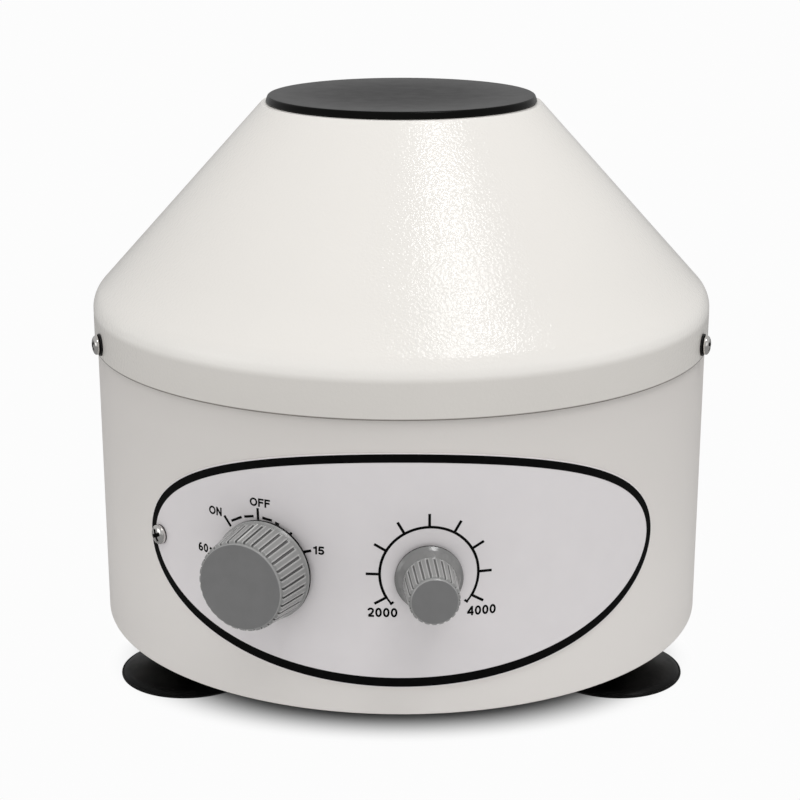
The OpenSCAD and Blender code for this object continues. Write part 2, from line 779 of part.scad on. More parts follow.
module timer_nut() {
    color([0.72, 0.72, 0.73])
        radial(-timer_angle, z_timer) translate([0, 0, panel_r + nut_gap])
            hex_nut(nut_r, neck_r + fit_gap, nut_h);
}

module timer_spindle() {
    color([0.75, 0.75, 0.76])
        radial(-timer_angle, z_timer)
            translate([0, 0, timer_face_r - spindle_out + 0.3])
                cylinder(r = timer_spindle_r, h = timer_face_out_r - 4 - timer_face_r + spindle_out - 0.3);
}

module timer_knob() {
    back_r = timer_knob_r - 0.7;
    draft = atan2(back_r - timer_front_r, timer_knob_l - 5);
    color([0.50, 0.50, 0.50])
        radial(-timer_angle, z_timer)
            difference() {
                translate([0, 0, knob_r0])
                    rotate_extrude()
                        polygon([
                            [0, 0], [timer_knob_r, 0], [timer_knob_r, 2.2], [back_r, 3],
                            [timer_front_r, timer_knob_l - 2], [timer_front_r - 0.3, timer_knob_l - 0.8],
                            [timer_front_r - 1, timer_knob_l], [0, timer_knob_l]
                        ]);
                for (i = [0:timer_ribs - 1])
                    rotate([0, 0, (i + 0.5) * 360 / timer_ribs])
                        translate([back_r - 0.8, -0.45, knob_r0 + 3.6])
                            rotate([0, -draft, 0]) cube([3, 0.9, timer_knob_l - 5.8]);
                translate([0, 0, knob_r0 - 1]) cylinder(r = knob_cave_r, h = knob_cave_d + 1);
                translate([0, 0, knob_r0]) cylinder(r = timer_spindle_r + fit_gap, h = timer_knob_l - 4);
            }
}

module speed_pot() {
    color([0.35, 0.36, 0.40])
        radial(speed_angle, z_speed)
            difference() {
                union() {
                    translate([0, 0, pot_face_r - pot_d]) cylinder(r = pot_r, h = pot_d);
                    translate([0, 0, pot_face_r - 1]) cylinder(r = neck_r, h = neck_end_r - pot_face_r + 1);
                }
                translate([0, 0, pot_face_r - pot_d / 2])
                    cylinder(r = speed_spindle_r + run_gap, h = neck_end_r - pot_face_r + pot_d);
            }
}

module speed_nut() {
    color([0.72, 0.72, 0.73])
        radial(speed_angle, z_speed) translate([0, 0, panel_r + nut_gap])
            hex_nut(nut_r, neck_r + fit_gap, nut_h);
}

module speed_spindle() {
    color([0.75, 0.75, 0.76])
        radial(speed_angle, z_speed)
            translate([0, 0, pot_face_r - pot_d / 2 + 0.3])
                cylinder(r = speed_spindle_r, h = speed_face_out_r - 4 - pot_face_r + pot_d / 2 - 0.3);
}

module speed_knob() {
    color([0.50, 0.50, 0.50])
        radial(speed_angle, z_speed)
            difference() {
                translate([0, 0, knob_r0])
                    rotate_extrude()
                        polygon([
                            [0, 0], [speed_skirt_r, 0], [speed_skirt_r, speed_knob_l * 0.065],
                            [speed_skirt_r * 0.94, speed_knob_l * 0.105],
                            [speed_grip_r * 1.06, speed_knob_l * 0.19],
                            [speed_grip_r, speed_knob_l * 0.23], [speed_grip_r * 0.95, speed_knob_l * 0.92],
                            [speed_grip_r * 0.875, speed_knob_l], [0, speed_knob_l]
                        ]);
                for (i = [0:speed_ribs - 1])
                    rotate([0, 0, (i + 0.5) * 360 / speed_ribs])
                        translate([speed_grip_r * 0.9, -speed_grip_r * 0.05, knob_r0 + speed_knob_l * 0.245])
                            cube([speed_grip_r * 0.3, speed_grip_r * 0.1, speed_knob_l * 0.655]);
                translate([0, 0, knob_r0 - 1]) cylinder(r = knob_cave_r, h = knob_cave_d + 1);
                translate([0, 0, knob_r0]) cylinder(r = speed_spindle_r + fit_gap, h = speed_knob_l - 4);
            }
}

// Electrics

// Places its children at the board's four spacers
module at_spacers(z) {
    for (x = [board_x0 + spacer_in, board_x0 + board_x - spacer_in])
        for (y = [board_y0 + spacer_in, board_y0 + board_y - spacer_in])
            translate([x, y, z]) children();
}

module control_board() {
    color([0.16, 0.36, 0.20])
        difference() {
            translate([board_x0, board_y0, z_board0]) cube([board_x, board_y, board_t]);
            at_spacers(z_board0 - 1) cylinder(r = spacer_pin_r + fit_gap, h = board_t + 2);
        }
}

module board_spacers() {
    color([0.90, 0.89, 0.84])
        at_spacers(0) {
            translate([0, 0, z_base1]) cylinder(r = spacer_r, h = spacer_h);
            translate([0, 0, z_base0]) cylinder(r = spacer_pin_r, h = z_board1 - z_base0 + 1.2);
        }
}

module heat_sink() {
    color([0.70, 0.71, 0.72])
        translate([board_mid_x - sink_w / 2, board_y0 + 2, z_board1])
            difference() {
                cube([sink_w, sink_d, sink_h]);
                for (i = [0:3])
                    translate([sink_w * (0.09 + i * 0.227), -1, sink_h / 10])
                        cube([sink_w * 0.136, sink_d * 0.64 + 1, sink_h]);
            }
}

module triac() {
    color([0.12, 0.12, 0.13])
        translate([board_mid_x - 5, board_y0 + 2 + sink_d, z_board1]) cube([10, 4.5, sink_h * 2 / 3]);
}

module capacitor() {
    color([0.75, 0.60, 0.25])
        translate([board_mid_x - 12, -5, z_board1]) cube([24, 10, 18]);
}

module terminal_block() {
    color([0.20, 0.45, 0.30])
        translate([block_x, block_y, z_board1])
            difference() {
                cube([block_l, block_w, 14]);
                for (i = [0:2]) translate([3.7 + i * 7.3, block_w / 2, 9]) cylinder(r = 2.2, h = 6);
                for (i = [0:2]) translate([1.8 + i * 7.3, -1, 2.5]) cube([3.8, 4, 4]);
            }
}

module internal_leads() {
    color([0.55, 0.20, 0.15]) {
        lead([
            [board_mid_x, block_y + block_w + lead_gap, z_board1 + 4.5],
            [board_mid_x, block_y + block_w + block_l / 2, z_board1 + block_w / 2],
            way(50, z_way - 6), way(90, z_way), way(135, z_way), way(180, z_way), way(218, z_way),
            timer_back - timer_w / 5 * timer_side + timer_d / 2 * timer_in,
            timer_back - timer_w / 5 * timer_side
        ]);
        lead([
            [board_x0 + board_x - spacer_in, board_y0 + 3 * spacer_in, z_board1 + lead_gap],
            [board_x0 + board_x - spacer_in, board_y0 + 3 * spacer_in, z_board1 + spacer_h],
            [board_x0 + board_x - spacer_in, board_y0 - spacer_in, z_board1 + 2 * spacer_h],
            way(-40, z_way - 10), way(-65, z_way - 3), pot_back + [0, pot_r, 0], pot_back
        ]);
        lead([
            [board_x0 + 4, pot_r, z_board1 + lead_gap], [board_x0 + 4, pot_r, z_board1 + spacer_h],
            [cap_end_r + 10, 2, z_brush], [cap_end_r, 0, z_brush]
        ]);
        lead([
            [-cap_end_r, 0, z_brush], [-cap_end_r - 10, -4, z_brush + 1], way(208, z_way - 10),
            timer_back + timer_w / 6 * timer_side + timer_d / 2 * timer_in,
            timer_back + timer_w / 6 * timer_side
        ]);
    }
}

module gland_body() {
    color([0.10, 0.10, 0.10])
        radial(180, z_gland)
            difference() {
                union() {
                    translate([0, 0, gland_in_r]) cylinder(r = gland_neck_r, h = drum_r - gland_in_r + 1);
                    translate([0, 0, drum_r]) cylinder(r = gland_hex_r, h = gland_hex_l, $fn = 6);
                    translate([0, 0, drum_r + gland_hex_l - 0.5])
                        rotate_extrude()
                            polygon([
                                [0, 0], [gland_neck_r * 1.25, 0],
                                [gland_neck_r * 1.25, gland_l - gland_hex_l - 8],
                                [gland_bore_r + 2, gland_l - gland_hex_l + 0.5],
                                [0, gland_l - gland_hex_l + 0.5]
                            ]);
                }
                translate([0, 0, gland_in_r - 1]) cylinder(r = gland_bore_r, h = gland_l + 40);
            }
}

module gland_lock_nut() {
    color([0.10, 0.10, 0.10])
        radial(180, z_gland)
            translate([0, 0, seat_in(drum_r - drum_t, gland_nut_r) - gland_nut_h - 0.05])
                hex_nut(gland_nut_r, gland_neck_r + fit_gap, gland_nut_h);
}

// Motor

module motor_posts() {
    color([0.66, 0.67, 0.68])
        on_ring(mount_ring_r, mount_az, z_base1) tube(post_r, mount_hole_r, z_post1 - z_base1);
}

module motor_dampers() {
    color([0.12, 0.12, 0.12])
        on_ring(mount_ring_r, mount_az, z_post1) tube(damper_r, mount_hole_r, damper_h);
}

module motor_screws() {
    color([0.72, 0.73, 0.74])
        on_ring(mount_ring_r, mount_az, z_lug0 + lug_t)
            pan_screw(motor_screw_r * 1.9, motor_screw_r * 1.3, motor_screw_r, z_lug0 + lug_t - z_base0);
}

module lower_bell() {
    color([0.68, 0.69, 0.70])
        difference() {
            union() {
                translate([0, 0, z_motor0]) cylinder(r = motor_r, h = bell_low_h);
                on_ring(mount_ring_r, mount_az, z_lug0) cylinder(r = damper_r, h = lug_t);
                for (a = mount_az)
                    rotate([0, 0, a])
                        translate([motor_r - bell_t, -damper_r * 0.8, z_lug0])
                            cube([mount_ring_r - motor_r + bell_t, damper_r * 1.6, lug_t]);
            }
            difference() {
                translate([0, 0, z_motor0 + bell_floor_t]) cylinder(r = motor_r - bell_t, h = bell_low_h);
                translate([0, 0, z_motor0]) cylinder(r = boss_r, h = bell_floor_t + bearing_w);
            }
            translate([0, 0, z_bearing_low]) cylinder(r = bearing_r + fit_gap, h = bell_low_h);
            translate([0, 0, z_motor0 - 1]) cylinder(r = bell_hole_r, h = bell_low_h);
            on_ring(mount_ring_r, mount_az, z_lug0 - 1) cylinder(r = mount_hole_r, h = lug_t + 2);
            on_ring(bolt_ring_r, bolt_az, z_motor0 - 1)
                cylinder(r = bolt_r + fit_gap, h = bell_floor_t + 2);
            for (s = [0, 180])
                rotate([0, 0, s])
                    translate([motor_r - bell_t - 3, -brush_out - fit_gap, z_brush - brush_out - fit_gap])
                        cube([bell_t + 6, 2 * (brush_out + fit_gap), 2 * (brush_out + fit_gap)]);
        }
}

module upper_bell() {
    color([0.68, 0.69, 0.70])
        difference() {
            translate([0, 0, z_core1]) cylinder(r = motor_r, h = bell_up_h);
            difference() {
                translate([0, 0, z_core1 - 1])
                    cylinder(r = motor_r - bell_t, h = bell_up_h - bell_top_t + 1);
                translate([0, 0, z_bearing_up]) cylinder(r = boss_r, h = bearing_w + bell_floor_t);
            }
            translate([0, 0, z_core1])
                cylinder(r = bearing_r + fit_gap, h = z_bearing_up + bearing_w - z_core1);
            translate([0, 0, z_core1]) cylinder(r = bell_hole_r, h = bell_up_h + 1);
            on_ring(bolt_ring_r, bolt_az, z_motor1 - bell_top_t - 1)
                cylinder(r = bolt_r + fit_gap, h = bell_top_t + 2);
        }
}

module stator_core() {
    color([0.45, 0.46, 0.48])
        difference() {
            translate([0, 0, z_core0])
                linear_extrude(height = core_h) {
                    difference() {
                        circle(r = motor_r);
                        circle(r = yoke_r);
                    }
                    for (s = [0, 180])
                        rotate(s) {
                            difference() {
                                intersection() {
                                    circle(r = shoe_r);
                                    polygon([[0, 0], [70, 49], [0, 90], [-70, 49]]);
                                }
                                circle(r = stator_r);
                            }
                            translate([-neck_w / 2, stator_r + 0.5]) square([neck_w, yoke_r - stator_r]);
                        }
                }
            on_ring(bolt_ring_r, bolt_az, z_core0 - 1) cylinder(r = bolt_r + fit_gap, h = core_h + 2);
        }
}

module field_coils() {
    color([0.62, 0.30, 0.12])
        for (s = [0, 180])
            rotate([0, 0, s])
                difference() {
                    intersection() {
                        translate([0, 0, z_core0 - coil_over])
                            tube(yoke_r - coil_gap, shoe_r + coil_gap, core_h + 2 * coil_over);
                        translate([-coil_half_w, 0, z_core0 - coil_over])
                            cube([2 * coil_half_w, yoke_r, core_h + 2 * coil_over]);
                    }
                    translate([-neck_w / 2 - coil_gap, 0, z_core0 - coil_gap])
                        cube([neck_w + 2 * coil_gap, yoke_r + 1, core_h + 2 * coil_gap]);
                }
}

module motor_bolts() {
    color([0.72, 0.73, 0.74])
        on_ring(bolt_ring_r, bolt_az, z_motor0)
            mirror([0, 0, 1]) pan_screw(bolt_r * 1.7, bolt_r * 1.2, bolt_r, z_motor1 - z_motor0);
}

module lower_bearing() {
    color([0.80, 0.80, 0.81])
        translate([0, 0, z_bearing_low]) tube(bearing_r, shaft_r + run_gap, bearing_w);
}

module upper_bearing() {
    color([0.80, 0.80, 0.81])
        translate([0, 0, z_bearing_up]) tube(bearing_r, shaft_r + run_gap, bearing_w);
}

module brush_holders() {
    inner = brush_w / 2 + 0.2;
    color([0.78, 0.62, 0.28])
        for (s = [0, 180])
            rotate([0, 0, s])
                difference() {
                    translate([holder_in_r, -brush_out, z_brush - brush_out])
                        cube([holder_out_r - holder_in_r, 2 * brush_out, 2 * brush_out]);
                    translate([holder_in_r - 1, -inner, z_brush - inner])
                        cube([holder_out_r - holder_in_r + 2, 2 * inner, 2 * inner]);
                }
}

module carbon_brushes() {
    color([0.14, 0.14, 0.15])
        for (s = [0, 180])
            rotate([0, 0, s])
                translate([commutator_r + brush_gap, -brush_w / 2, z_brush - brush_w / 2])
                    cube([brush_l, brush_w, brush_w]);
}

module brush_caps() {
    color([0.10, 0.10, 0.10])
        for (s = [0, 180])
            rotate([0, 0, s])
                translate([holder_out_r, 0, z_brush]) rotate([0, 90, 0])
                    cylinder(r = brush_out + 1.5, h = cap_l);
}

module motor_shaft() {
    color([0.78, 0.78, 0.79]) {
        translate([0, 0, z_shaft0]) cylinder(r = shaft_r, h = z_hub1 - z_shaft0);
        translate([0, 0, z_hub0 - collar_h]) cylinder(r = collar_r, h = collar_h);
        translate([0, 0, z_hub1 - 1]) cylinder(r = stud_r, h = rotor_nut_h);
    }
}

module armature_core() {
    color([0.50, 0.50, 0.52])
        difference() {
            translate([0, 0, z_core0]) tube(armature_r, shaft_r + fit_gap, core_h);
            for (i = [0:slot_n - 1])
                rotate([0, 0, i * 360 / slot_n])
                    translate([slot_r, -slot_w / 2, z_core0 - 1]) cube([armature_r, slot_w, core_h + 2]);
        }
}

module armature_winding() {
    color([0.62, 0.30, 0.12]) {
        translate([0, 0, z_wind0]) tube(end_turn_r, end_turn_in_r, z_core0 - z_wind0);
        translate([0, 0, z_core1]) tube(end_turn_r, end_turn_in_r, z_wind1 - z_core1);
        for (i = [0:slot_n - 1])
            rotate([0, 0, i * 360 / slot_n])
                translate([slot_r + 0.2, -slot_w / 2 + 0.1, z_core0 - 1])
                    cube([end_turn_r - slot_r - 1.2, slot_w - 0.2, core_h + 2]);
    }
}

module commutator() {
    color([0.72, 0.45, 0.20])
        translate([0, 0, z_commutator0])
            difference() {
                tube(commutator_r, shaft_r + fit_gap, commutator_l);
                for (i = [0:slot_n - 1])
                    rotate([0, 0, i * 360 / slot_n])
                        translate([commutator_r - 2, -0.4, -1]) cube([4, 0.8, commutator_l + 2]);
            }
}

module cooling_fan() {
    color([0.15, 0.15, 0.16])
        translate([0, 0, z_fan0])
            difference() {
                union() {
                    translate([0, 0, fan_h - 2]) cylinder(r = fan_r, h = 2);
                    cylinder(r = shaft_r + 4, h = fan_h);
                    for (i = [0:8])
                        rotate([0, 0, i * 40])
                            translate([shaft_r + 3, -0.8, 0.5]) cube([fan_r - shaft_r - 4, 1.6, fan_h - 1]);
                }
                translate([0, 0, -1]) cylinder(r = shaft_r + fit_gap, h = fan_h + 2);
            }
}

// Rotor

module rotor_head() {
    color([0.74, 0.75, 0.76])
        difference() {
            rotate_extrude()
                polygon([
                    [shaft_r + fit_gap, z_hub0], [hub_r, z_hub0], [hub_r, z_hub1 - dish_drop],
                    [dish_rim_r, dish_top(dish_rim_r) - dish_drop], [dish_rim_r, dish_top(dish_rim_r)],
                    [hub_r, z_hub1], [shaft_r + fit_gap, z_hub1]
                ]);
            for (i = [0:sleeve_n - 1]) {
                at_sleeve(i) translate([0, 0, -40]) cylinder(r = sleeve_r + sleeve_gap, h = 60);
                at_sleeve(i) translate([0, 0, -sleeve_flange_t])
                    cylinder(r = sleeve_flange_r + spot_gap, h = 20);
            }
        }
}

module rotor_nut() {
    color([0.80, 0.80, 0.81])
        translate([0, 0, z_hub1])
            difference() {
                union() {
                    cylinder(r = rotor_nut_r + 1.5, h = 2);
                    cylinder(r = rotor_nut_r, h = rotor_nut_h, $fn = 6);
                    translate([0, 0, rotor_nut_h - 0.5]) cylinder(r = rotor_nut_r * 0.75, h = 3);
                }
                translate([0, 0, -1]) cylinder(r = stud_r + fit_gap, h = rotor_nut_h + 1);
            }
}

// A tube sleeve with its mouth at z = 0, a flange and a rounded blind end
module sleeve() {
    color([0.86, 0.86, 0.84])
        rotate_extrude()
            polygon([
                [sleeve_r - sleeve_t, 0], [sleeve_flange_r, 0], [sleeve_flange_r, -sleeve_flange_t],
                [sleeve_r, -sleeve_flange_t], [sleeve_r, -sleeve_l + 5], [sleeve_r - 1.5, -sleeve_l + 1.5],
                [sleeve_r - 5, -sleeve_l], [0, -sleeve_l], [0, -sleeve_l + sleeve_t],
                [sleeve_r - 5.5, -sleeve_l + sleeve_t], [sleeve_r - sleeve_t, -sleeve_l + 6]
            ]);
}

module tube_sleeve_1() {
    at_sleeve(0) sleeve();
}

module tube_sleeve_2() {
    at_sleeve(1) sleeve();
}

module tube_sleeve_3() {
    at_sleeve(2) sleeve();
}

module tube_sleeve_4() {
    at_sleeve(3) sleeve();
}

module tube_sleeve_5() {
    at_sleeve(4) sleeve();
}

module tube_sleeve_6() {
    at_sleeve(5) sleeve();
}

drum_shell();
base_plate();
base_screws();
foot_left();
foot_right();
foot_rear();
foot_studs();
foot_nuts();
cone_cover();
cover_screws();
cover_washers();
chamber_bowl();
bowl_screws();
bowl_gasket();
front_panel();
panel_screw();
timer_body();
timer_nut();
timer_spindle();
timer_knob();
speed_pot();
speed_nut();
speed_spindle();
speed_knob();
control_board();
board_spacers();
heat_sink();
triac();
capacitor();
terminal_block();
internal_leads();
motor_posts();
motor_dampers();
motor_screws();
lower_bell();
upper_bell();
stator_core();
field_coils();
motor_bolts();
lower_bearing();
upper_bearing();
brush_holders();
carbon_brushes();
brush_caps();
gland_body();
gland_lock_nut();
motor_shaft();
armature_core();
armature_winding();
commutator();
cooling_fan();
rotor_head();
rotor_nut();
tube_sleeve_1();
tube_sleeve_2();
tube_sleeve_3();
tube_sleeve_4();
tube_sleeve_5();
tube_sleeve_6();
lid();
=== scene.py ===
"""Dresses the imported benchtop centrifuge: paint, plastic, printed scales, light and camera.

Sizes in the classes are millimetres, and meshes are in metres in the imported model's frame.
Angles around the drum are degrees from the front, positive to the right as seen from there.
"""

import logging
import math
from dataclasses import asdict, dataclass
from enum import Enum
from typing import Any, ClassVar, Optional, Sequence

import bmesh
import bpy
from mathutils import Matrix, Vector

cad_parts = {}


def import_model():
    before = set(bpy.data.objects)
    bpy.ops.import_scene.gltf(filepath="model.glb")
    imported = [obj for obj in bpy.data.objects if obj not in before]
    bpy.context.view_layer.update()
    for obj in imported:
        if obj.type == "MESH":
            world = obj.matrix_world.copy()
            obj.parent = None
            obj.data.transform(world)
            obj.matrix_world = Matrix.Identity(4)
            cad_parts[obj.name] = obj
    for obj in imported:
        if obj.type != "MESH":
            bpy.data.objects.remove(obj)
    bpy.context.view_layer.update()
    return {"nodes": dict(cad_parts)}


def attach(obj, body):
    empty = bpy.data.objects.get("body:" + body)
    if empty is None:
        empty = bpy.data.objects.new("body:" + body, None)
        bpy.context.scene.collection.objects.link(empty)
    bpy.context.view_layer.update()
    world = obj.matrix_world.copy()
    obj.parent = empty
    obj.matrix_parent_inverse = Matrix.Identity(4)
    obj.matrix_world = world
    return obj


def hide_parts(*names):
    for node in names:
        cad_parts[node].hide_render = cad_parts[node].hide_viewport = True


log = logging.getLogger("centrifuge")

MM = 0.001
PHOTO_SIDE = 800

# The mesh attribute that marks sunk places; the shaders turn it into painted shade there and a painted
# highlight along groove edges
SUNK = "sunk"

# A length too small to count, and the distance in metres at which points merge
NEXT_TO_NOTHING = 1e-6
MERGE_DISTANCE = 1e-7

# Angles in radians
WAVE_TURN = 6.2832
QUARTER_TURN = 1.57

# Spans of a pattern's values: most of a noise, and all of a pattern
NOISE_SPAN = (0.3, 0.7)
FULL_SPAN = (0.0, 1.0)

# The spare length at the ends of a round: its share of the radius, and the most
ROUND_SPARE = 0.3
ROUND_SPARE_MOST = 0.5

# The angle in degrees above which an edge stays sharp
SHARP_ANGLE = 32.0

# A groove's wall on both sides of its edge, as values of the ribs' wave
GROOVE_EASE = (0.16, 0.1)

# The radius within which a knob has no grooves, in groove depths
SOLID_CORE = 6.0

# The root of a print under the panel's surface, and the width of its common line
INK_ROOT = -0.02
INK_LINE = 1.05

Colour = tuple[int, int, int]
Linear = tuple[float, float, float, float]
Point = tuple[float, ...]
Span = tuple[float, float]
Line = list[tuple[float, float]]
Socket = bpy.types.NodeSocket
Mesh = bpy.types.Mesh


class Body(Enum):
    """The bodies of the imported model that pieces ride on."""

    BASE = "base"
    LID = "lid"
    TIMER = "timer_control"
    SPEED = "speed_control"


def linear(colour: Colour) -> Linear:
    """Turns an sRGB colour into linear values, by the standard's own curve.

    Args:
        colour: red, green and blue from 0 to 255.

    Returns:
        Linear red, green and blue, and an alpha of 1.
    """
    shares = [c / 255 for c in colour]
    values = [c / 12.92 if c <= 0.04045 else ((c + 0.055) / 1.055) ** 2.4 for c in shares]
    return (values[0], values[1], values[2], 1.0)


def grey(level: float) -> Linear:
    """Returns a linear grey with an alpha of 1."""
    return (level, level, level, 1.0)


# Node trees


class Nodes:
    """A node tree that the script fills."""

    def __init__(self, tree: bpy.types.NodeTree) -> None:
        """Takes the tree to fill."""
        self.tree = tree

    def feed(self, socket: Socket, value: Any) -> None:
        """Links a socket to another one, or sets its value.

        Args:
            socket: the input.
            value: the socket to link it to, or its value.
        """
        if isinstance(value, Socket):
            self.tree.links.new(value, socket)
        else:
            socket.default_value = value

    def add(self, kind: str, inputs: Optional[dict] = None, **settings: Any) -> bpy.types.Node:
        """Adds a node.

        Args:
            kind: the node's type.
            inputs: socket names or numbers, each with a socket or a value.
            settings: the node's own properties.

        Returns:
            The new node.
        """
        node = self.tree.nodes.new(kind)
        for key, value in settings.items():
            setattr(node, key, value)
        for key, value in (inputs or {}).items():
            self.feed(node.inputs[key], value)
        return node


class Shader(Nodes):
    """A material's node tree while a finish builds it.

    Attributes:
        groove_edge_highlight: nearness to a groove, each with the share of the colour's brightness there, a
            painted highlight along the groove's edges.
        groove_floor_shade: the nearness where the painted shade on a groove's floor starts and ends.
    """

    # Painted highlight along the edges of grooves, and painted shade on their floors
    groove_edge_highlight: ClassVar[tuple[Span, ...]] = ((0.0, 1.0), (0.25, 1.0), (0.5, 1.65), (0.78, 1.75))
    groove_floor_shade: ClassVar[Span] = (0.86, 0.95)

    def __init__(self, name: str) -> None:
        """Starts a material with a Principled shader on Object coordinates.

        Args:
            name: the material's name.
        """
        self.material = bpy.data.materials.new(name)
        self.material.use_nodes = True
        super().__init__(self.material.node_tree)
        self.surface = self.tree.nodes["Principled BSDF"]
        self.place = self.tree.nodes.new("ShaderNodeTexCoord").outputs["Object"]

    def skin(self, colour: Socket, rough: Socket, normal: Socket) -> None:
        """Feeds the shader's colour, roughness and normal."""
        for name, value in (("Base Color", colour), ("Roughness", rough), ("Normal", normal)):
            self.feed(self.surface.inputs[name], value)

    def noise(self, size: float, stretch: Point = (1, 1, 1), detail: float = 2.0) -> Socket:
        """Adds a noise pattern.

        Args:
            size: the size of its spots in millimetres.
            stretch: how much finer the pattern is along X, Y and Z.
            detail: the number of finer layers.

        Returns:
            The pattern's value, from 0 to 1.
        """
        moved = self.add("ShaderNodeMapping", {"Vector": self.place, "Scale": stretch})
        inputs = {"Vector": moved.outputs[0], "Scale": 1 / (size * MM), "Detail": detail}
        return self.add("ShaderNodeTexNoise", inputs).outputs[0]

    @staticmethod
    def wave_scale(pitch: float) -> float:
        """Returns the scale of a wave pattern that repeats at a pitch in millimetres."""
        return 1 / (pitch * MM) / WAVE_TURN * 2

    def bands(self, pitch: float, stretch: Point, waver: float = 0.0) -> Socket:
        """Adds parallel bands along one axis.

        Args:
            pitch: the distance from one band to the next in millimetres.
            stretch: 1 for the axis that crosses the bands and 0 for the others.
            waver: how uneven the bands are.

        Returns:
            The pattern's value, from 0 to 1.
        """
        moved = self.add("ShaderNodeMapping", {"Vector": self.place, "Scale": stretch})
        scale = self.wave_scale(pitch)
        inputs = {"Vector": moved.outputs[0], "Scale": scale, "Distortion": waver, "Detail": 1.0}
        return self.add("ShaderNodeTexWave", inputs, bands_direction="DIAGONAL").outputs[1]

    def rings(self, pitch: float) -> Socket:
        """Adds fine turned rings around the Z axis, a pitch in millimetres apart."""
        inputs = {"Vector": self.place, "Scale": self.wave_scale(pitch), "Distortion": 1.5, "Detail": 2.0}
        return self.add("ShaderNodeTexWave", inputs, wave_type="RINGS", rings_direction="Z").outputs[1]

    def remap(self, value: Socket, source: Span, target: Span, kind: str = "LINEAR") -> Socket:
        """Maps a value from one span to another, by a kind of curve, and clamps it there."""
        ends = {"From Min": source[0], "From Max": source[1], "To Min": target[0], "To Max": target[1]}
        return self.add("ShaderNodeMapRange", {"Value": value, **ends}, interpolation_type=kind).outputs[0]

    def ramp(self, value: Socket, stops: Sequence[tuple[float, Linear]]) -> Socket:
        """Turns a value into a colour between stops.

        Args:
            value: the value, from 0 to 1.
            stops: places with their linear colours.

        Returns:
            The colour.
        """
        made = self.add("ShaderNodeValToRGB", {0: value})
        elements = made.color_ramp.elements
        while len(elements) < len(stops):
            elements.new(0.5)
        for element, (place, colour) in zip(elements, stops):
            element.position = place
            element.color = colour
        return made.outputs[0]

    def blend(self, value: Socket, stops: Sequence[tuple[float, Colour]]) -> Socket:
        """Turns a value into a colour between stops, each a place and an sRGB colour."""
        return self.ramp(value, [(place, linear(colour)) for place, colour in stops])

    def between(self, value: Socket, span: Span, first: Colour, second: Colour) -> Socket:
        """Turns a value into a colour that goes from one to another over a span."""
        return self.blend(value, [(span[0], first), (span[1], second)])

    def times(self, first: Socket, second: Socket) -> Socket:
        """Multiplies two colours.

        Args:
            first: one colour.
            second: the other.

        Returns:
            Their product.
        """
        made = self.add("ShaderNodeMix", data_type="RGBA", blend_type="MULTIPLY")
        share, one, other, product = 0, 6, 7, 2
        for key, value in ((share, 1.0), (one, first), (other, second)):
            self.feed(made.inputs[key], value)
        return made.outputs[product]

    def sunk(self, base: Socket, share: float) -> Socket:
        """Darkens a colour where the mesh is marked as sunk, as painted shade, and makes the edges there
        paler, as a painted highlight.

        Args:
            base: the colour.
            share: how much darker the painted shade makes it there.

        Returns:
            The changed colour.
        """
        mark = self.add("ShaderNodeAttribute", attribute_name=SUNK, attribute_type="GEOMETRY").outputs["Fac"]
        # Painted highlight along groove edges, then painted shade on groove floors
        levels = [*self.groove_edge_highlight, *((place, 1.0 - share) for place in self.groove_floor_shade)]
        return self.times(base, self.ramp(mark, [(place, grey(level)) for place, level in levels]))

    def vector(self, operation: str, *values: Any) -> bpy.types.Node:
        """Adds a Vector Math node on some values."""
        return self.add("ShaderNodeVectorMath", dict(enumerate(values)), operation=operation)

    def bump(self, height: Socket, strength: float, depth: float, below: Optional[Socket] = None) -> Socket:
        """Adds relief.

        Args:
            height: the relief's value.
            strength: how much of it shows.
            depth: its depth in millimetres.
            below: another relief to add it to.

        Returns:
            The normal that carries the relief.
        """
        made = self.add("ShaderNodeBump", {"Height": height, "Strength": strength, "Distance": depth * MM})
        if below is not None:
            self.feed(made.inputs["Normal"], below)
        return made.outputs[0]


# Finishes


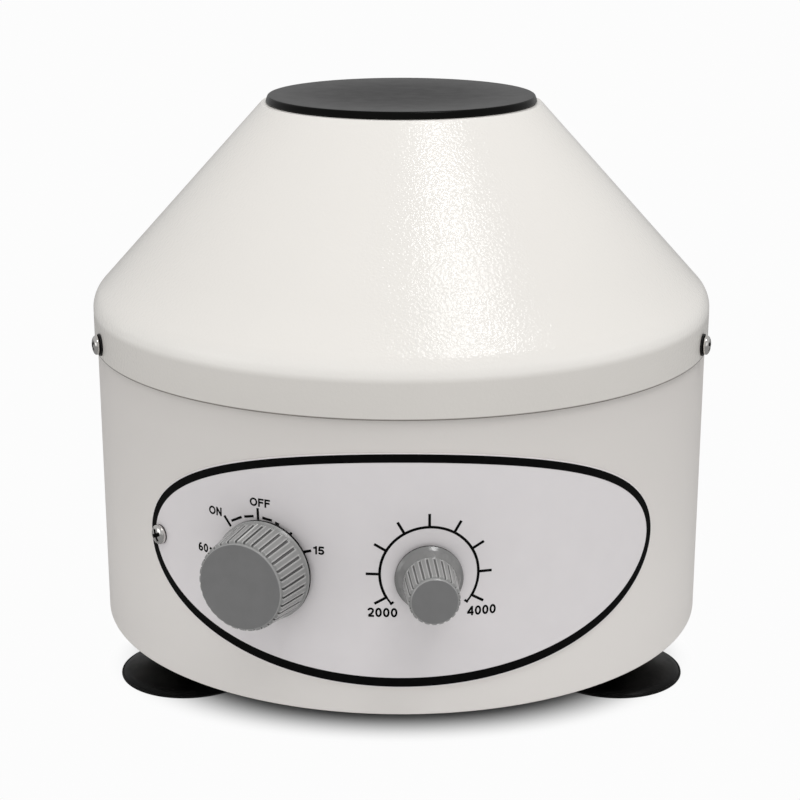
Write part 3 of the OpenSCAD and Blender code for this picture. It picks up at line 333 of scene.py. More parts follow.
@dataclass(frozen=True)
class Finish:
    """A finish: its colours, its gloss and the grain that its nodes give it.

    Attributes:
        name: the material's name.
        slot: the record's material slot, or an empty string.
        colour: the main colour.
        shade: the colour of its darker or dirtier spots.
        rough: the roughness at its smoothest and its dullest spots.
        metallic: 1 for bare metal.
        specular: the strength of reflections at normal incidence.
        grain: the size of its grain in millimetres.
        relief: the depth of its grain in millimetres.
        hollow: how much darker it is where the mesh is marked as sunk, as painted shade in grooves, with a
            painted highlight along their edges.
        made: the materials built so far, by name.
        spots: the size of its spots, in grains.
        tones: where its two colours lie in the pattern of colour.
        shade_first: whether the shade is the lower one of the two.
        gloss_span: the part of the pattern of gloss that the roughness covers.
        strength: how much of the relief shows.
    """

    name: str
    slot: str
    colour: Colour
    shade: Colour
    rough: Span
    metallic: float = 0.0
    specular: float = 0.5
    grain: float = 1.0
    relief: float = 0.02
    hollow: float = 0.0

    made: ClassVar[dict[str, bpy.types.Material]] = {}
    spots: ClassVar[float] = 14.0
    tones: ClassVar[Span] = (0.35, 0.65)
    shade_first: ClassVar[bool] = True
    gloss_span: ClassVar[Span] = NOISE_SPAN
    strength: ClassVar[float] = 0.5

    def material(self) -> bpy.types.Material:
        """Builds the finish's material on first use.

        Returns:
            The material.
        """
        if self.name not in Finish.made:
            shader = Shader(self.name)
            shader.surface.inputs["Metallic"].default_value = self.metallic
            shader.surface.inputs["Specular IOR Level"].default_value = self.specular
            self.build(shader)
            Finish.made[self.name] = shader.material
        return Finish.made[self.name]

    def patterns(self, shader: Shader) -> tuple[Socket, Socket, Socket]:
        """Adds the patterns of colour, gloss and relief: here, those of mottled moulded plastic."""
        mottle = shader.noise(self.grain * self.spots, detail=3)
        return mottle, mottle, shader.noise(self.grain, detail=2)

    def colouring(self, shader: Shader, pattern: Socket) -> Socket:
        """Turns the pattern of colour into the finish's colours, with painted shade where the mesh is marked
        as sunk.

        Args:
            shader: the material's tree.
            pattern: the pattern's value.

        Returns:
            The colour.
        """
        ends = (self.shade, self.colour) if self.shade_first else (self.colour, self.shade)
        mixed = shader.between(pattern, self.tones, *ends)
        return shader.sunk(mixed, self.hollow) if self.hollow else mixed

    def build(self, shader: Shader) -> None:
        """Builds the material from the patterns.

        Args:
            shader: the material's tree.
        """
        tone, gloss, relief = self.patterns(shader)
        shader.skin(
            self.colouring(shader, tone),
            shader.remap(gloss, self.gloss_span, self.rough),
            shader.bump(relief, self.strength, self.relief),
        )


@dataclass(frozen=True)
class PowderCoat(Finish):
    """Sprayed and baked paint with an orange-peel skin, and painted shade and highlight by height.

    Attributes:
        levels: heights in millimetres, each with the share of the colour's brightness there: painted shade
            and highlight by height.
        gloss: the weight of the clear skin, which carries the deeper orange peel.
        peel: the depth of that orange peel in millimetres.
        cloud: the size in millimetres of its wide changes of tone.
        fineness: the size of the finer skin, in grains.
        fine_strength: how much of the finer skin shows.
        fine_depth: the depth of the finer skin, as a share of the relief.
        coat_rough: the roughness of the clear skin.
        warmth: the powers of a level in red, green and blue, so that the darker painted shade is warmer.
    """

    # Painted shade and highlight: the colour's brightness at each height
    levels: tuple[Span, ...] = ((0.0, 1.0), (250.0, 1.0))
    gloss: float = 0.0
    peel: float = 0.3

    tones: ClassVar[Span] = NOISE_SPAN
    strength: ClassVar[float] = 0.6
    cloud: ClassVar[float] = 90.0
    fineness: ClassVar[float] = 0.28
    fine_strength: ClassVar[float] = 0.35
    fine_depth: ClassVar[float] = 0.25
    coat_rough: ClassVar[float] = 0.06
    warmth: ClassVar[tuple[float, float, float]] = (1.0, 1.04, 1.08)

    def painted_light_by_height(self, shader: Shader) -> Socket:
        """Adds the painted shade and highlight of the colour at each height.

        Args:
            shader: the material's tree.

        Returns:
            The brightness, as a colour.
        """
        low, high = self.levels[0][0], self.levels[-1][0]
        height = shader.add("ShaderNodeSeparateXYZ", {0: shader.place}).outputs[2]
        stops = []
        for z, level in self.levels:
            red, green, blue = (level**power for power in self.warmth)
            stops.append(((z - low) / (high - low), (red, green, blue, 1.0)))
        return shader.ramp(shader.remap(height, (low * MM, high * MM), FULL_SPAN), stops)

    def build(self, shader: Shader) -> None:
        """Builds wide, faint changes of tone, an orange-peel relief and a finer skin on it.

        Args:
            shader: the material's tree.
        """
        tone = shader.noise(self.cloud, detail=2)
        peel = shader.noise(self.grain, detail=1)
        fine = shader.noise(self.grain * self.fineness, detail=1)
        wide = shader.bump(peel, self.strength, self.relief)
        shader.skin(
            shader.times(self.colouring(shader, tone), self.painted_light_by_height(shader)),
            shader.remap(fine, self.gloss_span, self.rough),
            shader.bump(fine, self.fine_strength, self.relief * self.fine_depth, wide),
        )
        if self.gloss:
            shader.surface.inputs["Coat Weight"].default_value = self.gloss
            shader.surface.inputs["Coat Roughness"].default_value = self.coat_rough
            shader.feed(shader.surface.inputs["Coat Normal"], shader.bump(peel, self.strength, self.peel))


@dataclass(frozen=True)
class DishedPlastic(Finish):
    """Moulded plastic on a turned dish, with a painted reflection that grows paler towards its border.

    Attributes:
        painted_border_sheen: the colour of the painted reflection at the border.
        reach: the radii in millimetres where that colour starts and is full.
        halfway: where between them the shade colour, the middle of the painted reflection, lies.
        speck: the darker specks and the rest, which the colour is multiplied by.
    """

    # Painted reflection: the top grows paler from its middle to its border
    painted_border_sheen: Colour = (62, 62, 62)
    reach: Span = (14.0, 52.0)

    halfway: ClassVar[float] = 0.45
    speck: ClassVar[tuple[Colour, Colour]] = ((244, 244, 244), (255, 255, 255))

    def colouring(self, shader: Shader, pattern: Socket) -> Socket:
        """Changes the colour from the middle to the border as a painted reflection, with faint specks.

        Args:
            shader: the material's tree.
            pattern: the value of the specks' pattern.

        Returns:
            The colour.
        """
        level = shader.vector("MULTIPLY", shader.place, (1.0, 1.0, 0.0)).outputs[0]
        away = shader.vector("LENGTH", level).outputs["Value"]
        near = shader.remap(away, (self.reach[0] * MM, self.reach[1] * MM), FULL_SPAN)
        specks = shader.between(pattern, NOISE_SPAN, *self.speck)
        stops = [(0.0, self.colour), (self.halfway, self.shade), (1.0, self.painted_border_sheen)]
        return shader.times(shader.blend(near, stops), specks)


@dataclass(frozen=True)
class BrushedMetal(Finish):
    """Metal with fine lines along one axis.

    Attributes:
        stretch: how much finer the lines are along X, Y and Z.
    """

    stretch: tuple[float, float, float] = (1.0, 1.0, 0.03)

    spots: ClassVar[float] = 40.0
    tones: ClassVar[Span] = NOISE_SPAN
    gloss_span: ClassVar[Span] = (0.25, 0.75)
    strength: ClassVar[float] = 0.4

    def patterns(self, shader: Shader) -> tuple[Socket, Socket, Socket]:
        """Adds fine lines, and cloudy changes of colour."""
        lines = shader.noise(self.grain, self.stretch, detail=3)
        return shader.noise(self.grain * self.spots, detail=3), lines, lines


@dataclass(frozen=True)
class TurnedMetal(Finish):
    """Metal turned on a lathe, with fine rings around the Z axis."""

    spots: ClassVar[float] = 20.0
    tones: ClassVar[Span] = NOISE_SPAN
    gloss_span: ClassVar[Span] = FULL_SPAN
    strength: ClassVar[float] = 0.3

    def patterns(self, shader: Shader) -> tuple[Socket, Socket, Socket]:
        """Adds rings, and cloudy changes of colour."""
        rings = shader.rings(self.grain)
        return shader.noise(self.grain * self.spots, detail=3), rings, rings


@dataclass(frozen=True)
class Banded(Finish):
    """Stacked sheets or wound wire: close bands across the Z axis.

    Attributes:
        waver: how uneven the bands are.
    """

    waver: float = 0.3

    spots: ClassVar[float] = 12.0
    tones: ClassVar[Span] = (0.1, 0.6)
    strength: ClassVar[float] = 0.6

    def patterns(self, shader: Shader) -> tuple[Socket, Socket, Socket]:
        """Adds the bands as colour and relief, and cloudy changes of gloss."""
        bands = shader.bands(self.grain, (0, 0, 1), self.waver)
        return bands, shader.noise(self.grain * self.spots, detail=2), bands


@dataclass(frozen=True)
class Rubber(Finish):
    """Soft black rubber with a little dust in its grain."""

    spots: ClassVar[float] = 9.0
    tones: ClassVar[Span] = (0.45, 0.75)
    shade_first: ClassVar[bool] = False

    def patterns(self, shader: Shader) -> tuple[Socket, Socket, Socket]:
        """Adds dusty spots over a pebbled skin."""
        dust = shader.noise(self.grain * self.spots, detail=4)
        return dust, dust, shader.noise(self.grain, detail=2)


@dataclass(frozen=True)
class BoardLacquer(Finish):
    """Green lacquer over the copper tracks of a circuit board.

    Attributes:
        lane: where the lanes between the cells start and are full.
        haze: the size in millimetres of its changes of gloss.
    """

    tones: ClassVar[Span] = (0.2, 0.8)
    shade_first: ClassVar[bool] = False
    strength: ClassVar[float] = 0.4
    lane: ClassVar[Span] = (0.30, 0.36)
    haze: ClassVar[float] = 6.0

    def patterns(self, shader: Shader) -> tuple[Socket, Socket, Socket]:
        """Adds tracks as cells with lighter lanes between them.

        Args:
            shader: the material's tree.

        Returns:
            The patterns of colour, gloss and relief.
        """
        size = {"Vector": shader.place, "Scale": 1 / (self.grain * MM)}
        cells = shader.add("ShaderNodeTexVoronoi", size, distance="CHEBYCHEV")
        lanes = shader.remap(cells.outputs[0], self.lane, FULL_SPAN)
        return lanes, shader.noise(self.haze), lanes


COVER_PAINT = PowderCoat(
    "cover_paint",
    "cover_paint",
    (252, 249, 244),
    (249, 246, 241),
    (0.34, 0.42),
    specular=0.1,
    grain=1.2,
    relief=0.07,
    gloss=0.6,
    peel=0.42,
    # Painted light by height: a dark painted shadow line along the skirt's lower edge, painted shade on the
    # skirt, a painted highlight on the shoulder and a little painted shade on the cone
    levels=(
        (139.3, 0.2),
        (139.7, 0.2),
        (140.1, 0.79),
        (153.6, 0.80),
        (156.0, 1.0),
        (159.2, 1.0),
        (163.5, 0.91),
        (180.0, 0.89),
        (245.0, 0.9),
    ),
)
DRUM_PAINT = PowderCoat(
    "drum_paint",
    "drum_paint",
    (238, 234, 230),
    (235, 231, 227),
    (0.36, 0.46),
    specular=0.3,
    grain=1.3,
    relief=0.04,
    # Painted shade: the drum darker towards the top, under the skirt
    levels=((17.0, 1.0), (50.0, 0.99), (90.0, 0.95), (125.0, 0.92), (140.0, 0.88), (152.0, 0.88)),
)
FOIL = BrushedMetal(
    "panel_foil",
    "panel_foil",
    (234, 230, 231),
    (232, 228, 229),
    (0.42, 0.52),
    grain=0.25,
    relief=0.004,
    stretch=(0.04, 0.04, 1),
)
# Printed ink, also used as painted shade in screw recesses and painted shadow under screw heads and at the
# knobs' rear edges
INK_AND_SHADE = Finish("printed_ink", "", (3, 3, 3), (6, 6, 6), (0.5, 0.6), specular=0.1, grain=0.3, relief=0.004)
# Its colour, shade and border colour paint a reflection that grows paler towards the border
LID_TOP = DishedPlastic(
    "lid_top",
    "black_plastic",
    (10, 10, 10),
    (30, 30, 30),
    (0.40, 0.45),
    specular=0.26,
    grain=0.5,
    relief=0.015,
)
LID_RIM = Finish(
    "lid_rim",
    "black_plastic",
    (9, 9, 8),
    (11, 11, 10),
    (0.20, 0.28),
    specular=0.08,
    grain=2.0,
    relief=0.006,
)
# Its hollow paints shade in the grip's grooves and a highlight along their edges
KNOB_GREY = Finish(
    "knob_grey",
    "grey_plastic",
    (140, 140, 139),
    (138, 138, 137),
    (0.28, 0.33),
    specular=0.75,
    grain=1.2,
    relief=0.003,
    hollow=0.6,
)
# A darker copy of the knob's grey: painted shade on the knob's face
KNOB_FACE_SHADED = Finish(
    "knob_face",
    "grey_plastic",
    (123, 123, 123),
    (120, 120, 120),
    (0.38, 0.46),
    grain=0.4,
    relief=0.01,
)
# A darker copy of the knob's grey: painted shade on the speed knob's collar
KNOB_COLLAR_SHADED = Finish(
    "knob_collar",
    "grey_plastic",
    (126, 126, 125),
    (123, 123, 122),
    (0.2, 0.24),
    specular=0.9,
    grain=1.2,
    relief=0.003,
)
# A paler copy of the knob's grey: a painted highlight on the ring around the face and the collar's edge
KNOB_EDGE_HIGHLIGHT = Finish(
    "knob_edge",
    "grey_plastic",
    (156, 156, 155),
    (150, 150, 149),
    (0.22, 0.26),
    specular=0.8,
    grain=1.2,
    relief=0.003,
)
POINTER = Finish(
    "pointer_grey",
    "grey_plastic",
    (208, 208, 206),
    (202, 202, 200),
    (0.30, 0.40),
    grain=0.4,
    relief=0.01,
)
FOOT_RUBBER = Rubber(
    "rubber",
    "rubber",
    (4, 4, 4),
    (8, 8, 8),
    (0.30, 0.44),
    specular=0.16,
    grain=0.7,
    relief=0.02,
)
BRIGHT = BrushedMetal(
    "bright_screw",
    "bright_screw",
    (232, 230, 227),
    (218, 216, 213),
    (0.08, 0.16),
    metallic=1.0,
    grain=0.2,
    relief=0.006,
)
BLACK_PLASTIC = Finish(
    "black_plastic",
    "black_plastic",
    (10, 10, 11),
    (14, 14, 15),
    (0.34, 0.46),
    specular=0.3,
    grain=0.5,
    relief=0.02,
)
STEEL = BrushedMetal(
    "steel",
    "steel",
    (176, 179, 181),
    (150, 152, 154),
    (0.28, 0.46),
    metallic=1.0,
    grain=0.5,
    relief=0.008,
    stretch=(1, 0.04, 1),
)
ALUMINIUM = TurnedMetal(
    "aluminium",
    "aluminium",
    (205, 207, 208),
    (184, 186, 188),
    (0.26, 0.44),
    metallic=1.0,
    grain=0.5,
    relief=0.008,
)
PALE_PLASTIC = Finish(
    "pale_plastic",
    "pale_plastic",
    (226, 224, 214),
    (214, 211, 199),
    (0.34, 0.48),
    grain=0.6,
    relief=0.015,
)
CORE_STEEL = Banded(
    "core_steel",
    "core_steel",
    (126, 128, 131),
    (70, 72, 76),
    (0.34, 0.52),
    metallic=1.0,
    grain=0.5,
    relief=0.05,
)
COPPER = Banded(
    "copper",
    "copper",
    (178, 92, 44),
    (92, 40, 18),
    (0.26, 0.42),
    metallic=0.6,
    grain=0.7,
    relief=0.12,
    waver=0.6,
)
BOARD = BoardLacquer("board", "board", (34, 86, 50), (58, 120, 74), (0.26, 0.40), grain=5.0, relief=0.03)
LEAD_JACKET = Finish(
    "lead_jacket",
    "lead_jacket",
    (136, 40, 32),
    (112, 32, 26),
    (0.40, 0.54),
    grain=0.5,
    relief=0.01,
)
SLOT_FINISHES: dict[str, Finish] = {
    finish.slot: finish
    for finish in (
        COVER_PAINT,
        DRUM_PAINT,
        FOIL,
        KNOB_GREY,
        FOOT_RUBBER,
        BRIGHT,
        BLACK_PLASTIC,
        STEEL,
        ALUMINIUM,
        PALE_PLASTIC,
        CORE_STEEL,
        COPPER,
        BOARD,
        LEAD_JACKET,
    )
}


# Meshes


def rounded(corners: Sequence[Point], steps: int = 6) -> Line:
    """Rounds the corners of a profile.

    Args:
        corners: points (radius, height), with a third number where the corner is rounded by that radius.
        steps: the faces in a quarter round.

    Returns:
        The profile's points, with an extra one close to each end of a round, so that shading stays
        flat beyond it.
    """
    out: Line = []
    for i, corner in enumerate(corners):
        here = Vector(corner[:2])
        if len(corner) < 3:
            out.append((here.x, here.y))
            continue
        radius = corner[2]
        before = (Vector(corners[i - 1][:2]) - here).normalized()
        after = (Vector(corners[(i + 1) % len(corners)][:2]) - here).normalized()
        half = before.angle(after) / 2
        reach = radius / math.tan(half)
        middle = here + (before + after).normalized() * (radius / math.sin(half))
        first, last = here + before * reach, here + after * reach
        start = math.atan2(first.y - middle.y, first.x - middle.x)
        stop = math.atan2(last.y - middle.y, last.x - middle.x)
        turn = (stop - start + math.pi) % (2 * math.pi) - math.pi
        count = max(2, round(steps * abs(turn) / (math.pi / 2)))
        spare = min(ROUND_SPARE * radius, ROUND_SPARE_MOST)
        out.append(tuple(first + before * spare))
        for k in range(count + 1):
            a = start + turn * k / count
            out.append((middle.x + radius * math.cos(a), middle.y + radius * math.sin(a)))
        out.append(tuple(last + after * spare))
    return out


def piece(
    name: str,
    mesh: Mesh,
    body: Body,
    finish: Optional[Finish],
    stands_for: Sequence[str] = (),
) -> bpy.types.Object:
    """Puts a mesh in the scene as a piece that rides on a body.

    Args:
        name: the piece's name.
        mesh: its mesh, already in place.
        body: the body that it moves with.
        finish: the finish for its first material slot, or None where the mesh has its own.
        stands_for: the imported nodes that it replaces.

    Returns:
        The new object.
    """
    made = bpy.data.objects.new(name, mesh)
    mesh.name = name
    bpy.context.scene.collection.objects.link(made)
    if finish is not None:
        mesh.materials.clear()
        mesh.materials.append(finish.material())
    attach(made, body.value)
    if stands_for:
        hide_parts(*stands_for)
    log.info("piece %s: %d faces on %s", name, len(mesh.polygons), body.value)
    return made


def smooth(mesh: Mesh, angle: float = SHARP_ANGLE) -> Mesh:
    """Shades a mesh smooth.

    Args:
        mesh: the mesh.
        angle: the angle in degrees above which an edge stays sharp.

    Returns:
        The same mesh.
    """
    mesh.shade_smooth()
    mesh.set_sharp_from_angle(angle=math.radians(angle))
    return mesh


def from_bmesh(name: str, work: bmesh.types.BMesh, angle: float = SHARP_ANGLE) -> Mesh:
    """Makes a smooth mesh of a bmesh, with its doubles merged and its faces outwards.

    Args:
        name: the mesh's name.
        work: the bmesh, which is freed.
        angle: the angle in degrees above which an edge stays sharp.

    Returns:
        The mesh.
    """
    bmesh.ops.remove_doubles(work, verts=work.verts, dist=MERGE_DISTANCE)
    bmesh.ops.recalc_face_normals(work, faces=work.faces)
    mesh = bpy.data.meshes.new(name)
    work.to_mesh(mesh)
    work.free()
    return smooth(mesh, angle)


def lathe(
    name: str,
    profile: Sequence[Point],
    segments: int = 256,
    closed: bool = True,
    place: Optional[Matrix] = None,
) -> Mesh:
    """Turns a profile about the Z axis.

    Args:
        name: the mesh's name.
        profile: points (radius, height) in millimetres.
        segments: the faces around.
        closed: whether the last point joins the first.
        place: where the mesh goes afterwards, in millimetres.

    Returns:
        The mesh, in metres.
    """
    work = bmesh.new()
    angles = [2 * math.pi * i / segments for i in range(segments)]
    rings = []
    for r, z in profile:
        if r < NEXT_TO_NOTHING:
            rings.append([work.verts.new((0, 0, z))])
        else:
            rings.append([work.verts.new((r * math.cos(a), r * math.sin(a), z)) for a in angles])
    following = rings[1:] + rings[:1] if closed else rings[1:]
    for low, high in zip(rings, following):
        for i in range(segments):
            j = (i + 1) % segments
            quad = [low[i % len(low)], low[j % len(low)], high[j % len(high)], high[i % len(high)]]
            corners = list(dict.fromkeys(quad))
            if len(corners) > 2:
                work.faces.new(corners)
    matrix = Matrix.Scale(MM, 4) @ (place or Matrix.Identity(4))
    bmesh.ops.transform(work, matrix=matrix, verts=work.verts)
    return from_bmesh(name, work)


def outwards(azimuth: float, height: float, reach: float = 0.0) -> Matrix:
    """Returns the place of a piece that points out of the drum: +Z outwards and +Y up, in millimetres."""
    turn = Matrix.Rotation(math.radians(azimuth), 4, "Z") @ Matrix.Rotation(math.radians(90), 4, "X")
    return Matrix.Translation((0, 0, height)) @ turn @ Matrix.Translation((0, 0, reach))


def wrapped(flat: Vector, radius: float, azimuth: float, height: float) -> Vector:
    """Lays a point of a flat print on the drum.

    Args:
        flat: right, up and out of the print, in millimetres.
        radius: the radius of the surface that carries it.
        azimuth: the print's angle from the front.
        height: the print's height.

    Returns:
        The point in millimetres.
    """
    turn = math.radians(azimuth) + flat.x / radius
    reach = radius + flat.z
    return Vector((reach * math.sin(turn), -reach * math.cos(turn), height + flat.y))


# Geometry Nodes


class Sketch(Nodes):
    """A Geometry Nodes tree with named inputs, and the plain meshes that it gives."""

    on_drum: ClassVar[tuple[str, ...]] = ("Thickness", "Drum Radius", "Azimuth", "Height")

    def __init__(self, name: str, inputs: dict[str, str]) -> None:
        """Starts a tree.

        Args:
            name: the tree's name.
            inputs: the name and socket type of each input.
        """
        super().__init__(bpy.data.node_groups.new(name, "GeometryNodeTree"))
        face = self.tree.interface
        face.new_socket(name="Geometry", in_out="OUTPUT", socket_type="NodeSocketGeometry")
        face.new_socket(name="Shape", in_out="INPUT", socket_type="NodeSocketGeometry")
        self.keys: dict[str, str] = {}
        for key, kind in {**inputs, "Material": "NodeSocketMaterial"}.items():
            self.keys[key] = face.new_socket(name=key, in_out="INPUT", socket_type=kind).identifier
        self.source = self.tree.nodes.new("NodeGroupInput")
        self.target = self.tree.nodes.new("NodeGroupOutput")

    def given(self, name: str) -> Socket:
        """Returns the socket of a named input."""
        return self.source.outputs[name]

    def sum(self, kind: str, first: Any, second: Any = 0.0, third: Any = 0.0) -> Socket:
        """Adds a Math node of a kind and returns its result."""
        return self.add("ShaderNodeMath", {0: first, 1: second, 2: third}, operation=kind).outputs[0]

    def rise(self, value: Any, low: Any, high: Any) -> Socket:
        """Returns a value that rises smoothly from 0 to 1 while another goes from low to high."""
        span = {"Value": value, "From Min": low, "From Max": high}
        return self.add("ShaderNodeMapRange", span, interpolation_type="SMOOTHSTEP").outputs[0]

    def vector(self, x: Any, y: Any, z: Any) -> Socket:
        """Joins three values into a vector."""
        return self.add("ShaderNodeCombineXYZ", {0: x, 1: y, 2: z}).outputs[0]

    def axes(self) -> Sequence[Socket]:
        """Returns the X, Y and Z of each point's position."""
        here = self.add("GeometryNodeInputPosition").outputs[0]
        return self.add("ShaderNodeSeparateXYZ", {0: here}).outputs

    def wrap(self, shape: Socket) -> Socket:
        """Lays a flat print on the drum, by the inputs Drum Radius, Azimuth and Height.

        Args:
            shape: the flat print.

        Returns:
            The wrapped print.
        """
        x, y, z = self.axes()
        turn = self.sum("ADD", self.sum("DIVIDE", x, self.given("Drum Radius")), self.given("Azimuth"))
        reach = self.sum("ADD", z, self.given("Drum Radius"))
        side = self.sum("MULTIPLY", reach, self.sum("SINE", turn))
        front = self.sum("MULTIPLY", self.sum("MULTIPLY", reach, self.sum("COSINE", turn)), -1.0)
        up = self.sum("ADD", y, self.given("Height"))
        moved = {"Geometry": shape, "Position": self.vector(side, front, up)}
        return self.add("GeometryNodeSetPosition", moved).outputs[0]

    def close(self, shape: Socket) -> None:
        """Ends the tree: real meshes with the given material.

        Args:
            shape: what the tree has built.
        """
        real = self.add("GeometryNodeRealizeInstances", {"Geometry": shape})
        inputs = {"Geometry": real.outputs[0], "Material": self.given("Material")}
        dressed = self.add("GeometryNodeSetMaterial", inputs)
        self.tree.links.new(dressed.outputs[0], self.target.inputs[0])

    def mesh(self, name: str, finish: Finish, settings: dict[str, Any], shape: Optional[Mesh] = None) -> Mesh:
        """Runs the tree once.

        Args:
            name: the mesh's name.
            finish: the finish for the input Material.
            settings: values for the named inputs.
            shape: the mesh that the tree works on, if any.

        Returns:
            A plain mesh with no modifier.
        """
        carrier = bpy.data.objects.new(name + "_carrier", shape or bpy.data.meshes.new(name + "_start"))
        modifier = carrier.modifiers.new("rule", "NODES")
        modifier.node_group = self.tree
        for key, value in {**settings, "Material": finish.material()}.items():
            modifier[self.keys[key]] = value
        bpy.context.scene.collection.objects.link(carrier)
        graph = bpy.context.evaluated_depsgraph_get()
        result = carrier.evaluated_get(graph)
        plain = bpy.data.meshes.new_from_object(result, preserve_all_data_layers=True, depsgraph=graph)
        carrier.modifiers.remove(modifier)
        bpy.data.objects.remove(carrier)
        plain.name = name
        return plain


def floats(*names: str) -> dict[str, str]:
    """Returns named number inputs for a tree."""
    return {name: "NodeSocketFloat" for name in names}


def grip_sketch() -> Sketch:
    """Builds the tree that presses grooves into a turned knob, so that ribs stand between them.

    Returns:
        The tree.
    """
    sizes = ("Ribs", "Groove Depth", "Groove Share", "Grip Start", "Grip End", "Start Fade", "End Fade")
    s = Sketch("ribbed_grip", floats(*sizes))
    x, y, z = s.axes()
    wave = s.sum("COSINE", s.sum("MULTIPLY", s.sum("ARCTAN2", y, x), s.given("Ribs")))
    edge = s.sum("COSINE", s.sum("MULTIPLY", s.given("Groove Share"), math.pi))
    groove = s.rise(wave, s.sum("SUBTRACT", edge, GROOVE_EASE[0]), s.sum("ADD", edge, GROOVE_EASE[1]))
    first, last = s.given("Grip Start"), s.given("Grip End")
    start = s.rise(z, first, s.sum("ADD", first, s.given("Start Fade")))
    end = s.rise(z, last, s.sum("SUBTRACT", last, s.given("End Fade")))
    run = s.sum("MULTIPLY", start, end)
    depth = s.sum("MULTIPLY", s.sum("MULTIPLY", groove, run), s.given("Groove Depth"))
    reach = s.sum("SQRT", s.sum("ADD", s.sum("MULTIPLY", x, x), s.sum("MULTIPLY", y, y)))
    outer = s.sum("GREATER_THAN", reach, s.sum("MULTIPLY", s.given("Groove Depth"), SOLID_CORE))
    inwards = s.sum("MULTIPLY", depth, s.sum("MULTIPLY", outer, -1.0))
    push = s.sum("DIVIDE", inwards, s.sum("MAXIMUM", reach, NEXT_TO_NOTHING))
    offset = s.vector(s.sum("MULTIPLY", x, push), s.sum("MULTIPLY", y, push), 0.0)
    pressed = s.add("GeometryNodeSetPosition", {"Geometry": s.given("Shape"), "Offset": offset})
    # The mark that the shader turns into painted shade in the grooves and a painted highlight along their
    # edges
    mark = s.sum("MULTIPLY", s.sum("MULTIPLY_ADD", wave, 0.5, 0.5), s.sum("MULTIPLY", run, outer))
    marked = {"Geometry": pressed.outputs[0], "Name": SUNK, "Value": mark}
    stored = s.add("GeometryNodeStoreNamedAttribute", marked, data_type="FLOAT", domain="POINT")
    s.close(stored.outputs[0])
    return s


def tick_sketch() -> Sketch:
    """Builds the tree that prints strokes around a dial: ticks, or the dashes of an arc.

    Returns:
        The tree.
    """
    sizes = floats("Start", "Step", "Lean", "Radius", "Length", "Width", "Taper", *Sketch.on_drum)
    s = Sketch("dial_strokes", {"Count": "NodeSocketInt", **sizes})
    index = s.add("GeometryNodeInputIndex").outputs[0]
    angle = s.sum("ADD", s.given("Start"), s.sum("MULTIPLY", index, s.given("Step")))
    spot = s.vector(
        s.sum("MULTIPLY", s.sum("SINE", angle), s.given("Radius")),
        s.sum("MULTIPLY", s.sum("COSINE", angle), s.given("Radius")),
        s.sum("MULTIPLY", s.given("Thickness"), 0.5),
    )
    points = s.add("GeometryNodePoints", {"Count": s.given("Count"), "Position": spot})
    size = s.vector(s.given("Width"), s.given("Length"), s.given("Thickness"))
    stroke = s.add("GeometryNodeMeshCube", {"Size": size, "Vertices X": 5, "Vertices Y": 5, "Vertices Z": 2})
    lean = s.sum("MULTIPLY", s.sum("ADD", angle, s.given("Lean")), -1.0)
    turn = s.add("FunctionNodeEulerToRotation", {0: s.vector(0.0, 0.0, lean)}).outputs[0]
    shrink = s.sum("SUBTRACT", 1.0, s.sum("MULTIPLY", index, s.given("Taper")))
    laid = s.add(
        "GeometryNodeInstanceOnPoints",
        {
            "Points": points.outputs[0],
            "Instance": stroke.outputs[0],
            "Rotation": turn,
            "Scale": s.vector(shrink, 1.0, 1.0),
        },
    )
    s.close(s.wrap(s.add("GeometryNodeRealizeInstances", {"Geometry": laid.outputs[0]}).outputs[0]))
    return s


def arc_sketch() -> Sketch:
    """Builds the tree that prints an arc around a dial.

    Returns:
        The tree.
    """
    s = Sketch("dial_arc", floats("Start", "Sweep", "Radius", "Width", *Sketch.on_drum))
    line = s.add(
        "GeometryNodeCurveArc",
        {
            "Resolution": 120,
            "Radius": s.given("Radius"),
            "Start Angle": s.given("Start"),
            "Sweep Angle": s.given("Sweep"),
        },
    )
    level = s.add("GeometryNodeSetCurveNormal", {"Curve": line.outputs[0]}, mode="Z_UP")
    shape = {"Width": s.given("Width"), "Height": s.given("Thickness")}
    section = s.add("GeometryNodeCurvePrimitiveQuadrilateral", shape)
    swept = {"Curve": level.outputs[0], "Profile Curve": section.outputs[0], "Fill Caps": True}
    band = s.add("GeometryNodeCurveToMesh", swept)
    lift = s.vector(0.0, 0.0, s.sum("MULTIPLY", s.given("Thickness"), 0.5))
    raised = s.add("GeometryNodeSetPosition", {"Geometry": band.outputs[0], "Offset": lift})
    s.close(s.wrap(raised.outputs[0]))
    return s


def screw_sketch() -> Sketch:
    """Builds the tree that sets a screw on each point, pointing out of the drum and turned at random.

    Returns:
        The tree.
    """
    s = Sketch("drum_screws", {"Screw": "NodeSocketObject", "Seed": "NodeSocketInt"})
    x, y, _ = s.axes()
    out = s.vector(x, y, 0.0)
    index = s.add("GeometryNodeInputIndex").outputs[0]
    draw = {"Min": 0.0, "Max": QUARTER_TURN, "ID": index, "Seed": s.given("Seed")}
    spin = s.add("FunctionNodeRandomValue", draw, data_type="FLOAT")
    drawn = [socket for socket in spin.outputs if socket.enabled][0]
    start = s.add("FunctionNodeEulerToRotation", {0: s.vector(0.0, 0.0, drawn)})
    aim = s.add("FunctionNodeAlignRotationToVector", {"Vector": out}, axis="Z")
    both = {0: aim.outputs[0], 1: start.outputs[0]}
    turn = s.add("FunctionNodeRotateRotation", both, rotation_space="LOCAL")
    shape = s.add("GeometryNodeObjectInfo", {"Object": s.given("Screw")}, transform_space="ORIGINAL")
    laid = s.add(
        "GeometryNodeInstanceOnPoints",
        {"Points": s.given("Shape"), "Instance": shape.outputs["Geometry"], "Rotation": turn.outputs[0]},
    )
    s.close(laid.outputs[0])
    return s


# Sub-assemblies


